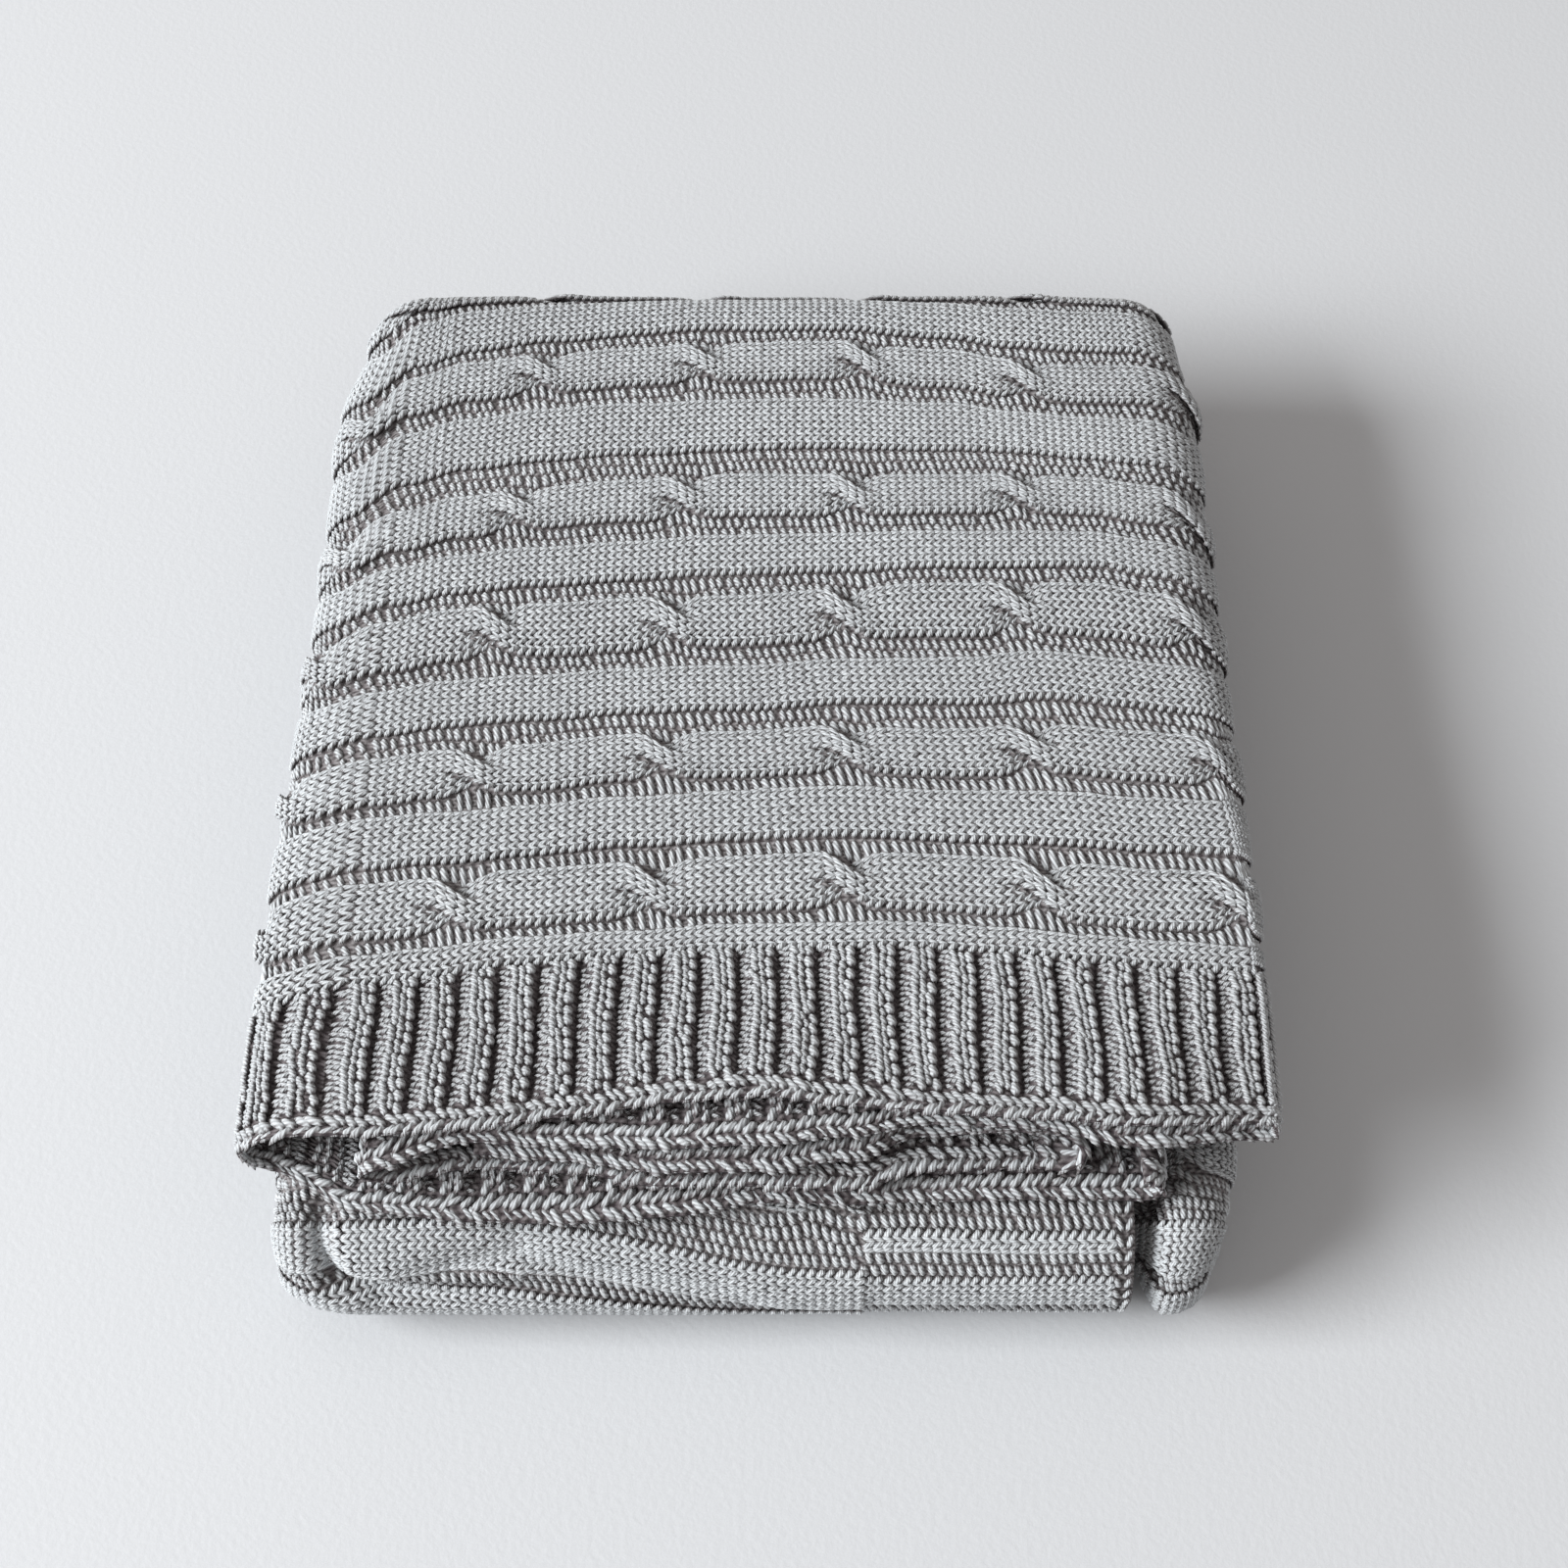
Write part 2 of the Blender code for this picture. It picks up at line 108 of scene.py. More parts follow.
# Soft troughs on the front turn: x and height of the line, and its depth, in millimetres
TROUGHS = [np.array(rows) / 1000 for rows in (
    [(-172, 70, 6), (-170, 56, 9), (-164, 44, 10), (-148, 37, 8),
     (-115, 38, 4), (-85, 43, 3), (-50, 43, 2.5), (-15, 36, 0)],
    [(-145, 47, 0), (-120, 51, 5), (-95, 55, 7), (-72, 49, 6),
     (-46, 46, 4), (-20, 42, 3), (5, 32, 0)],
)]
TROUGH_WIDTH = 0.0065

# Stretches of the strip, in the order of u: name, what follows it, and length
STRIP = [
    ("lower", None, 0.301), ("lower", "face", 0.081), ("face", None, 0.329),
    ("face", "second", 0.061), ("second", None, 0.303), ("second", "fourth", 0.043),
    ("fourth", None, 0.239), ("fourth", "core", 0.016), ("core", None, 0.215),
]
U_ENDS = np.cumsum([0.0] + [length for _, _, length in STRIP])
V_BACK = BACK_Y
V_MIDDLE = V_BACK + math.pi * OUTSIDE
V_FRONT = V_MIDDLE + BACK_Y - FRONT_Y
V_BOTTOM = V_FRONT + math.pi * OUTSIDE
V_END = V_BOTTOM + REAR_Y - FRONT_Y
FACE_U = U_ENDS[2] - LEFT_TURN_X          # u - FACE_U is x on the top face
print(f"flat throw: {U_ENDS[-1]:.3f} m by {V_END - HEM_Y:.3f} m")


# %% Smooth steps and tables
def ramp(value, low, high):
    share = np.clip((value - low) / (high - low), 0.0, 1.0)
    return share * share * (3 - 2 * share)


def mix(first, second, share):
    return first + (second - first) * share


def smooth_table(x, table, column):
    """A column of a table at each x, with smooth steps between its rows."""
    at = np.clip(np.searchsorted(table[:, 0], x) - 1, 0, len(table) - 2)
    low, high = table[at], table[at + 1]
    return mix(low[..., column], high[..., column], ramp(x, low[..., 0], high[..., 0]))


# %% Along the zigzag
LOOSE_FROM_Y, LOOSE_TO_Y = -0.12, 0.07      # on the top face the layers part towards the back
NEAR_BACK_Y = 0.15
NEAR_TURN = 0.6             # how much of a turn's narrowing has begun where it starts


def zigzag(v):
    """Where each v lies along the zigzag, and how loose the strip is there."""
    ends = [v < V_BACK, v < V_MIDDLE, v < V_FRONT, v < V_BOTTOM]
    run = np.select(ends, [0, 1, 2, 3], 4)
    share = np.select(ends, [
        v * 0, (v - V_BACK) / (V_MIDDLE - V_BACK), (v - V_MIDDLE) / (V_FRONT - V_MIDDLE),
        (v - V_FRONT) / (V_BOTTOM - V_FRONT)], (v - V_BOTTOM) / (V_END - V_BOTTOM))
    y = np.select(ends, [v, v * 0 + BACK_Y, BACK_Y - v + V_MIDDLE, v * 0 + FRONT_Y],
                  FRONT_Y + v - V_BOTTOM)
    top = run == 0
    hem = np.where(top, 1 - ramp(y, HEM_Y, HEM_Y + BAND_DEPTH), 0.0)
    loop = np.where(top, ramp(y, LOOSE_FROM_Y, LOOSE_TO_Y), 1.0)
    bulge = NEAR_TURN + 0.4 * np.sin(np.pi * share)
    near_back = NEAR_TURN * ramp(y, NEAR_BACK_Y, BACK_Y)
    near_front = NEAR_TURN * ramp(share, 0.75, 1.0)
    return SimpleNamespace(
        run=run, share=share, y=y, hem=hem, curl=ramp(hem, 0.25, 1.0), loop=loop,
        slide=np.where(top, np.maximum(1 - (y - HEM_Y) / BAND_DEPTH, 0.0), 0.0),
        crown=np.select([top, run == 1], [1.0, 1 - ramp(share, 0.2, 0.8)], 0.0),
        corner=np.select([top, run == 1, run == 2], [near_back, bulge, near_back], 0.0),
        turn=np.select([run == 2, run == 3, run == 4],
                       [near_front, bulge, NEAR_TURN * (1 - ramp(share, 0.0, 0.3))], 0.0),
    )


# %% Across the strip
HEM_SPREAD = 0.25               # how much thicker the strip is at the hems
SINKING_X = (0.143, 0.167)      # here the second layer sinks to the bottom of the strip
LIFTED_X = (0.050, 0.100)       # from here to the right the hems are lifted
FOURTH_END_X = (0.105, 0.110)


def layer_height(name, x, at):
    height = LEVEL[name] * LAYER * (1 + HEM_SPREAD * at.hem)
    if name == "second":
        height = mix(height, -2 * LAYER, at.loop * ramp(x, *SINKING_X))
    return height + HEM_LIFT.get(name, 0.0) * at.hem * ramp(x, *LIFTED_X)


def turn_place(name, at):
    """Where the turn after a layer starts, and how far it reaches past that x."""
    right = mix(LAYER / 2, SIDE_LOOP_REACH, at.loop)
    return {
        "lower": (LEFT_TURN_X + 0 * right,
                  -LEFT_REACH - LEFT_SPREAD * (1 - at.loop) * (at.run == 0)),
        "face": (HALF_WIDTH - right, right),
        "second": (INNER_TURN_X + 0 * right, -INNER_REACH + 0 * right),
        "fourth": (mix(*FOURTH_END_X, at.hem), mix(LAYER / 2, CORE_LOOP_REACH, at.hem)),
        "core": (CORE_END_X + 0 * right, 0 * right),
    }[name]


def section(u, at):
    """The section across the strip: x, height, and how far the hem stands forward."""
    x, height, advance = np.zeros_like(u), np.zeros_like(u), np.zeros_like(u)
    stretch = np.clip(np.searchsorted(U_ENDS, u, side="right") - 1, 0, len(STRIP) - 1)
    for number, (name, after, length) in enumerate(STRIP):
        here = stretch == number
        if not here.any():
            continue
        part = SimpleNamespace(**{key: value[here] for key, value in vars(at).items()})
        share = (u[here] - U_ENDS[number]) / length
        end_x, reach = turn_place(name, part)
        if after:
            angle = np.pi * share
            blend = (1 - np.cos(angle)) / 2
            at_x = end_x + reach * np.sin(angle)
            high = mix(layer_height(name, end_x, part), layer_height(after, end_x, part), blend)
        elif name == "lower":
            radius = CURL_RADIUS / np.maximum(part.curl, 0.001)
            flat_x = mix(LOWER_END_X - CURL_LENGTH, CURL_X, part.curl)
            from_end = share * (CURL_LENGTH + flat_x - end_x)
            angle = np.maximum(CURL_LENGTH - from_end, 0.0) / radius
            at_x = np.where(angle > 0, flat_x + radius * np.sin(angle),
                            flat_x + CURL_LENGTH - from_end)
            high = layer_height(name, at_x, part) + radius * (1 - np.cos(angle))
        else:
            start_x = turn_place(STRIP[number - 1][0], part)[0]
            at_x = mix(start_x, end_x, share)
            high = layer_height(name, at_x, part)
        forward = smooth_table(at_x, HEM_ADVANCE, HEM_COLUMN[name])
        if after:
            forward = mix(forward, smooth_table(at_x, HEM_ADVANCE, HEM_COLUMN[after]), blend)
        x[here], height[here], advance[here] = at_x, high, forward
    return x, height, advance


# %% [markdown]
# ## The bands sway
# The real throw isn't folded quite along its wales. Towards the sides the bands drop
# towards the viewer, and on the front turn they slide down to the right. So `v` counts
# wales, and a smooth table says how far each wale lies off the straight line of its fold.

# %% The sway of the knitting on the face and on the front turn
# x on the face, then how far the bands lie towards the front at five places, in millimetres
SWAY = np.array([
    # x, front, near, middle, far, back
    (-320, 0, 0, 0, 0, 0),
    (-235, 22, 22, 30, 40, 50),
    (-180, 17, 16, 20, 31, 38),
    (-160, 13, 12, 13, 19, 20),
    (-135, 10.5, 8.5, 7.5, 11, 12),
    (-100, 6.5, 5.5, 4, 7, 6),
    (-60, 2.5, 2.5, 1, 3, 3),
    (-25, 0, 0, 0, 0, 0),
    (30, -1.5, -3, -3, -1, 0),
    (80, 2, -3.5, -7, 0, 4),
    (110, 4.5, -6.5, -7.5, -1, 10),
    (140, 7, -4, -7.5, 1.5, 12),
    (165, 8, -1.5, -3, 5, 12),
    (200, 8, 2, 6, 16, 20),
    (250, 6, 4, 6, 8, 10),
    (320, 0, 0, 0, 0, 0),
]) / 1000
SWAY_PLACES = [-0.110, 0.0, 0.040, 0.110, 0.165]
SWAY_FADES = (0.19, 0.36)       # v round the back turn where the sway dies away
SLIDE_DOWN = 0.020              # how far the bands slide down the front turn
SLIDE_X, SLIDE_BEGINS, SLIDE_FADES = (-0.110, 0.035), (0.640, 0.720), (0.80, 0.95)


def sway(u, v):
    """How far a wale lies from its straight line, towards smaller v."""
    x = u - FACE_U
    off = np.zeros_like(x)
    for number, tent in enumerate(np.eye(len(SWAY_PLACES))):
        off = off + smooth_table(x, SWAY, number + 1) * np.interp(v, SWAY_PLACES, tent)
    off = off * np.clip((v - HEM_Y) / BAND_DEPTH, 0, 1) * (1 - ramp(v, *SWAY_FADES))
    lower_x = LEFT_TURN_X + U_ENDS[1] - u
    slid = ramp(lower_x, *SLIDE_X) * ramp(v, *SLIDE_BEGINS) * (1 - ramp(v, *SLIDE_FADES))
    return off - SLIDE_DOWN * (slid * (lower_x > LEFT_TURN_X))


# %% Soft troughs and the carry along the zigzag
RIGHT_ROUND_X, LEFT_ROUND_X = 0.140, -0.145     # past these the ends draw in at the turns
RIGHT_DRAW_IN, LEFT_DRAW_IN = (0.22, 0.44), (0.34, 0.12)    # at the back and at the front turn
HEM_RISE, HUMP_RISE, HUMP_X, HUMP_WIDTH = 0.0015, 0.0040, -0.005, 0.045
HEM_DROOP, FACE_DROOP = 0.0070, 0.0035


def trough(x, z):
    """How deep the creases of the front turn are at a place."""
    deepest = np.zeros_like(x)
    for line in TROUGHS:
        for (x0, z0, depth0), (x1, z1, depth1) in zip(line, line[1:]):
            run_x, run_z = x1 - x0, z1 - z0
            share = ((x - x0) * run_x + (z - z0) * run_z) / (run_x ** 2 + run_z ** 2)
            share = np.clip(share, 0, 1)
            away = np.hypot(x - x0 - share * run_x, z - z0 - share * run_z)
            depth = mix(depth0, depth1, share) * np.exp(-((away / TROUGH_WIDTH) ** 2))
            deepest = np.maximum(deepest, depth)
    return deepest


def lay(u, v):
    """The folded place of the flat cloth's points."""
    at = zigzag(v - sway(u, v))
    x, height, advance = section(u, at)
    right, left = [(1 - back * at.corner) * (1 - front * at.turn)
                   for back, front in (RIGHT_DRAW_IN, LEFT_DRAW_IN)]
    x = np.where(x > RIGHT_ROUND_X, RIGHT_ROUND_X + (x - RIGHT_ROUND_X) * right, x)
    x = np.where(x < LEFT_ROUND_X, LEFT_ROUND_X + (x - LEFT_ROUND_X) * left, x)
    hump = HUMP_RISE * np.exp(-(((x - HUMP_X) / HUMP_WIDTH) ** 2))
    height = height + at.hem * (HEM_RISE + hump)
    height = height - at.hem * HEM_DROOP * ramp(x, RIGHT_ROUND_X, HALF_WIDTH)
    height = height - at.crown * FACE_DROOP * np.abs(x / HALF_WIDTH) ** 4
    angle = np.pi * at.share
    back, front = TURN + height, TURN - height
    depth = np.where(at.run == 3, trough(x, LOW_Z + TURN + front * np.cos(angle)), 0.0)
    front = front - depth * (2 * LAYER - height) / (4 * LAYER)
    runs = [at.run == 0, at.run == 1, at.run == 2, at.run == 3]
    y = np.select(runs, [at.y - advance * at.slide, BACK_Y + back * np.sin(angle), at.y,
                         FRONT_Y - front * np.sin(angle)], at.y)
    z = np.select(runs, [TOP_Z + height, TOP_Z - TURN + back * np.cos(angle), MIDDLE_Z - height,
                         LOW_Z + TURN + front * np.cos(angle)], LOW_Z + height)
    return np.stack([x, y, z], axis=-1) + SHIFT


def tangents(u, v, step=0.0008):
    """The cloth's two directions at each point, per metre of yarn, and its outward normal."""
    along = (lay(u + step, v) - lay(u - step, v)) / (2 * step)
    across = (lay(u, v + step) - lay(u, v - step)) / (2 * step)
    normal = np.cross(along, across)
    return along, across, normal / np.linalg.norm(normal, axis=-1, keepdims=True)


middle_of_face = tangents(np.array([FACE_U]), np.array([0.05]))[2][0]
print("the right side of the top face looks towards", middle_of_face.round(3))

# %% [markdown]
# ## The bands of the knitting
# Across the cables the panel repeats: plain band, purl groove, cable, purl groove. Each
# band is a count of wales, which are the columns of stitches. A purl wale sits low and
# shows short bumps, a knit wale stands high and shows the V of its stitches. The throw
# ends in a border with bands of its own, which shows at the right of the front turn.

# %% The table of wales
COURSE = 0.0037
# kind, first and last v in millimetres, on the top face and round the back
BANDS = [
    ("plain", -130, -119), ("cable", -113, -88), ("plain", -80, -57), ("cable", -50, -28),
    ("plain", -16, 6), ("cable", 16, 42), ("plain", 53, 74), ("cable", 85, 108),
    ("plain", 124, 153), ("cable", 164, 186), ("plain", 195, 219), ("cable", 229, 252),
    ("plain", 263, 286),
]
# The bands after these are even, apart from two that show on the front turn
EVEN_BANDS, FIRST_CENTRE, BAND_PITCH, HALF_BAND = 26, 307.75, 33.25, 11.75
PLAIN_ON_TURN = 14
for number in range(EVEN_BANDS):
    kind = "cable" if number % 2 == 0 and number != PLAIN_ON_TURN else "plain"
    centre = FIRST_CENTRE + BAND_PITCH * number
    BANDS.append((kind, centre - HALF_BAND, centre + HALF_BAND))
BANDS[25] = ("cable", 688, 708)       # its upper half lies under the hems
BORDER_U, BORDER_V = 0.104, 0.60
BORDER_BANDS = [("plain", 600 + 32 * number, 616 + 32 * number) for number in range(12)]
BORDER_BANDS[3:6] = [("plain", 713, 721), ("plain", 732, 748), ("plain", 763, 780)]
SEAM_V = HEM_Y + BAND_DEPTH
REAR_SEAM_V = V_END - BAND_DEPTH
PLAIN_WALE, GROOVE_ROW = 0.0039, 0.0056
CABLE_WALES = 6


def band_arrays(bands):
    """Low and high edges in metres, and which bands are cables."""
    edges = np.array([(low, high) for _, low, high in bands]) / 1000
    return edges[:, 0], edges[:, 1], np.array([kind == "cable" for kind, _, _ in bands])


PANEL_BANDS, BORDER = band_arrays(BANDS), band_arrays(BORDER_BANDS)


def in_border(u, v):
    return (u < BORDER_U) & (v > BORDER_V)


def band_at(u, v):
    """The band that each place belongs to: its edges, and whether it is a cable."""
    found = []
    for low, high, cable in (PANEL_BANDS, BORDER):
        index = np.clip(np.searchsorted(low, v, side="right") - 1, 0, len(low) - 1)
        found.append([low[index], high[index], cable[index]])
    border = in_border(u, v)
    return [np.where(border, there, here) for here, there in zip(*found)]


print(len(BANDS), "bands across the panel,", sum(PANEL_BANDS[2]), "of them cables")

# %% Relief of the bands
CABLE_PITCH = 0.073
CROSSING_U = FACE_U - 0.0450
CROSSING_SLANT = 0.08
CROSSING_REACH = 0.012
BAND_RISE, GROOVE_DROP, CABLE_CROWN = 0.0009, -0.0008, 0.0026
BORDER_RELIEF = 0.45       # the border's rows are much flatter than the bands
# how deep a cable's upper and lower edges dip at a crossing, where along it, and how wide
DIPS = ((0.50, 0.55), (0.0085, 0.0), (0.0085, 0.0075))


def from_crossing(u, v):
    """Distance along u from the nearest crossing of a cable."""
    nearest = (u - CROSSING_U - CROSSING_SLANT * v) / CABLE_PITCH
    return (nearest - np.round(nearest)) * CABLE_PITCH


def cable_edge(d, side):
    """Where a cable's edge lies, as a share of its half width: it dips beside a crossing."""
    depth, middle, width = [np.where(np.greater(side, 0), upper, lower) for upper, lower in DIPS]
    return 1 - depth * np.exp(-(((d - middle) / width) ** 2))


def off_floor(u, v):
    """0 where the cloth lies on the floor, which presses it flat, and 1 above."""
    return ramp(lay(u, v)[:, 2], 0.0015, 0.010)


def relief(u, v):
    """Height of the knitting over the middle of the cloth's right side."""
    low, high, cable = band_at(u, v)
    middle, half = (low + high) / 2, (high - low) / 2
    d = from_crossing(u, middle)
    place = np.clip((v - middle) / half, -1.8, 1.8)
    edge = np.where(cable, cable_edge(d, np.sign(place)), 1.0)
    inside = 1 - ramp(np.abs(place), edge - 0.20, edge + 0.16)
    arch = np.sqrt(np.clip(1 - np.minimum(np.abs(place) / edge, 1.0) ** 2, 0, 1))
    near = np.exp(-((d / CROSSING_REACH) ** 2))
    crown = np.where(cable, CABLE_CROWN * (arch * (1 - 0.35 * near) - 0.2), 0.6 * BAND_RISE * arch)
    height = mix(GROOVE_DROP, BAND_RISE + crown, inside)
    height = height * np.where(in_border(u, v), BORDER_RELIEF, 1.0)
    return height * ramp(v, SEAM_V - 0.001, SEAM_V + 0.004) * off_floor(u, v)


# %% [markdown]
# ## The cloth under the stitches
# Each sheet starts as a flat grid whose vertices are laid in the folds and raised by the
# relief. A Solidify modifier gives it a thickness. It is the ground that shows between the
# stitches, and the whole cloth where the layers are hidden from view. Its dark colour is
# painted shade for the gaps between the stitches.

# %% Build a folded sheet
GROUND = 0.0016
GROUND_SINK = 0.0008


def rows_between(marks):
    """Values from marks of (start, how many steps follow); the last mark ends the list."""
    found = []
    for (start, steps), (stop, _) in zip(marks, marks[1:]):
        found += list(np.linspace(start, stop, steps, endpoint=False))
    return np.array(found + [marks[-1][0]])


def add_object(name, data):
    """A new object in the scene, at the origin."""
    obj = bpy.data.objects.new(name, data)
    bpy.context.scene.collection.objects.link(obj)
    return obj


def folded_sheet(name, us, vs, raise_by):
    """A grid of the flat cloth laid in its folds, as an object with a UV map in stitches."""
    bm = bmesh.new()
    bmesh.ops.create_grid(bm, x_segments=len(us) - 1, y_segments=len(vs) - 1, size=1.0)
    bm.verts.index_update()
    bm.faces.ensure_lookup_table()
    flat = np.array([vert.co for vert in bm.verts])
    column = np.rint((flat[:, 0] + 1) / 2 * (len(us) - 1)).astype(int)
    row = np.rint((flat[:, 1] + 1) / 2 * (len(vs) - 1)).astype(int)
    u, v = us[column], vs[row]
    normal = tangents(u, v)[2]
    places = lay(u, v) + normal * raise_by(u, v)[:, None]
    for vert, place in zip(bm.verts, places):
        vert.co = place
    uv = bm.loops.layers.uv.new("stitches")
    for face in bm.faces:
        for loop in face.loops:
            index = loop.vert.index
            loop[uv].uv = (u[index] / COURSE, v[index] / PLAIN_WALE)
    bm.normal_update()
    centre = bm.faces[len(bm.faces) // 2]
    if centre.normal.dot(Vector(normal[centre.verts[0].index])) < 0:
        bmesh.ops.reverse_faces(bm, faces=bm.faces)
    mesh = bpy.data.meshes.new(name)
    bm.to_mesh(mesh)
    bm.free()
    mesh.shade_smooth()
    obj = add_object(name, mesh)
    solid = obj.modifiers.new("thickness", "SOLIDIFY")
    solid.thickness = GROUND
    solid.offset = 0.0
    print(name, len(mesh.polygons), "faces on each side")
    return obj


# %% Choose the grid lines and build the panel
def fill_gaps(lines, longest):
    """More lines, so that no gap is longer than that."""
    filled = [lines[0]]
    for line in lines[1:]:
        steps = math.ceil((line - filled[-1]) / longest)
        filled += list(np.linspace(filled[-1], line, steps + 1)[1:])
    return np.array(filled)


FINE_GAP, COARSE_GAP = 0.0045, 0.02       # between grid lines in the front turn and below
PAST_BANDS = ("plain", 1210, 1210)        # a mark after the last band
panel_us = rows_between([
    (0.0, 10), (0.030, 10), (BORDER_U - 0.001, 1), (BORDER_U + 0.001, 20), (U_ENDS[1], 16),
    (U_ENDS[2], 70), (U_ENDS[3], 14), (U_ENDS[4], 12), (U_ENDS[4] + 0.070, 8), (U_ENDS[5], 8),
    (U_ENDS[6], 12), (U_ENDS[7], 4), (U_ENDS[8], 10), (U_ENDS[9], 0),
])
band_vs = [SEAM_V + SEAM_GAP, REAR_SEAM_V - SEAM_GAP]
for (_, low, high), (_, following, _) in zip(BANDS, BANDS[1:] + [PAST_BANDS]):
    shares = (0, 0.10, 0.5, 0.90, 1) if low / 1000 < V_MIDDLE else (0.04, 0.5, 0.96)
    for line in [mix(low, high, share) for share in shares] + [mix(high, following, 0.5)]:
        if SEAM_V + 0.002 < line / 1000 < REAR_SEAM_V - 0.002:
            band_vs.append(line / 1000)
band_vs = np.sort(band_vs)
in_turn = (band_vs > V_FRONT) & (band_vs < V_BOTTOM)
panel_vs = np.concatenate([
    band_vs[band_vs <= V_FRONT],
    fill_gaps(list(band_vs[in_turn]), FINE_GAP),
    fill_gaps(list(band_vs[band_vs >= V_BOTTOM]), COARSE_GAP),
])
panel = folded_sheet("throw_panel_cloth", panel_us, panel_vs,
                     lambda u, v: relief(u, v) - GROUND_SINK * off_floor(u, v))

# %% [markdown]
# ## The ribbed side bands
# The side bands were picked up along the panel's long edges, so their wales run across the
# panel's. A rib repeats every 14.5 mm: a deep groove, a steep side where short strokes of
# yarn point into the groove, a bright ridge and two columns of rounded stitches.

# %% Relief of the ribs and the two band sheets
RIB = 0.0145
RIB_PROFILE = np.array([
    # place in the rib, height in millimetres
    (0.00, -2.8), (0.07, -2.5), (0.17, -0.9), (0.36, 0.5), (0.50, 0.9),
    (0.66, 0.6), (0.84, 0.7), (0.95, -0.6), (1.00, -2.8),
])
CHAIN_DEPTH = 0.009
SEAM_REACH = 0.0035         # the ribs rise over this length beside the seam


def rib_relief(u, v):
    """Height of the ribs over the middle of a side band, which ends flat at hem and seam."""
    height = smooth_table((u / RIB) % 1.0, RIB_PROFILE, 1) / 1000
    from_hem = np.minimum(v - HEM_Y, V_END - v)
    from_seam = np.maximum(SEAM_V - v, v - REAR_SEAM_V)
    height = height * ramp(from_hem, CHAIN_DEPTH * 0.6, CHAIN_DEPTH * 1.3)
    return height * ramp(from_seam, 0.0, SEAM_REACH) * off_floor(u, v)


band_us = rows_between([(0.0, int(U_ENDS[-1] / RIB * 6)), (U_ENDS[-1], 0)])
front_vs = rows_between([(HEM_Y, 9), (SEAM_V - SEAM_REACH, 1), (SEAM_V, 0)])
rear_vs = rows_between([(REAR_SEAM_V, 3), (V_END, 0)])
front_band = folded_sheet("front_band_cloth", band_us, front_vs, rib_relief)
rear_band = folded_sheet("rear_band_cloth", band_us[::2], rear_vs, rib_relief)

# %% [markdown]
# ## Which stitches show
# Only stitches that can be seen from outside get yarn, because the hidden ones would make
# up most of the file. Nine rays leave each place of a coarse map of the cloth. Where none
# gets out, the place lies inside the bundle, and where few do, it lies in a hollow and its
# yarn gets painted shade.

# %% Test the cloth against the sky
SKY_CELL = 0.007
SKY_REACH = 0.6
SKY_START = 0.0042          # over the highest cable, and under the next layer
LOWEST_RAY = -0.35          # rays that point further down end on the floor
RAY_LEANS = [(0, 0), (0.8, 0), (-0.8, 0), (0, 0.8), (0, -0.8),
             (2.2, 0), (-2.2, 0), (0, 2.2), (0, -2.2)]
OPEN_RAYS = 5               # with this many rays in the open, the yarn isn't darkened
LOWEST_STITCH = 0.0022      # under it the cloth lies on the floor, and no stitch shows
sheets = []
for obj in (panel, front_band, rear_band):
    points = [vert.co.copy() for vert in obj.data.vertices]
    sheets.append(BVHTree.FromPolygons(points, [list(face.vertices) for face in obj.data.polygons]))


def sky_map(us, vs, side):
    """For a grid of places, how many of nine rays leave the bundle."""
    u, v = [grid.ravel() for grid in np.meshgrid(us, vs, indexing="ij")]
    along, across, normal = tangents(u, v)
    normal = normal * side
    along = along / np.linalg.norm(along, axis=-1, keepdims=True)
    start = lay(u, v) + normal * SKY_START
    seen = np.zeros(len(u), int)
    other = np.cross(normal, along)
    for lean_u, lean_v in RAY_LEANS:
        ways = normal + lean_u * along + lean_v * other
        ways = ways / np.linalg.norm(ways, axis=-1, keepdims=True)
        for place in np.nonzero(ways[:, 2] > LOWEST_RAY)[0]:
            origin, way = Vector(start[place]), Vector(ways[place])
            if not any(tree.ray_cast(origin, way, SKY_REACH)[0] for tree in sheets):
                seen[place] += 1
    return seen.reshape(len(us), len(vs))


class Sky:
    """Looks up the sky map of one side of a part of the cloth."""

    def __init__(self, low, high, side):
        self.us = np.arange(0.003, U_ENDS[-1], SKY_CELL)
        self.vs = np.linspace(low, high, max(2, round((high - low) / SKY_CELL)))
        self.seen = sky_map(self.us, self.vs, side)
        open_air = self.seen >= 2          # well lit places also show what lies beside them
        wide = self.seen > 0
        wide[1:] |= open_air[:-1]
        wide[:-1] |= open_air[1:]
        wide[:, 1:] |= open_air[:, :-1]
        wide[:, :-1] |= open_air[:, 1:]
        self.wide = wide

    def cell(self, u, v):
        """The nearest place of the map."""
        found = []
        for value, line in ((u, self.us), (v, self.vs)):
            nearest = np.rint((value - line[0]) / (line[1] - line[0])).astype(int)
            found.append(np.clip(nearest, 0, len(line) - 1))
        return tuple(found)

    def shows(self, u, v):
        """True where a stitch can be seen from outside."""
        return self.wide[self.cell(u, v)] & (lay(u, v)[:, 2] > LOWEST_STITCH)

    def hidden(self, u, v):
        """0 in the open, towards 1 in hollows, where the yarn gets painted shade."""
        return np.clip(1 - self.seen[self.cell(u, v)] / OPEN_RAYS, 0, 1)


panel_sky = Sky(SEAM_V, REAR_SEAM_V, 1)
band_sky = {side: Sky(HEM_Y, SEAM_V, side) for side in (1, -1)}
rear_sky = Sky(REAR_SEAM_V, V_END, 1)
print("share of the panel in view:", round(float(panel_sky.wide.mean()), 3))

# %% [markdown]
# ## One grain of yarn
# A knit stitch shows as two short fat strokes of yarn that meet in a V, and a purl stitch
# as one bump across. Every stroke here is the same small closed grain, a sphere of few
# faces drawn out, copied by arrays into one mesh and laid along its own direction.

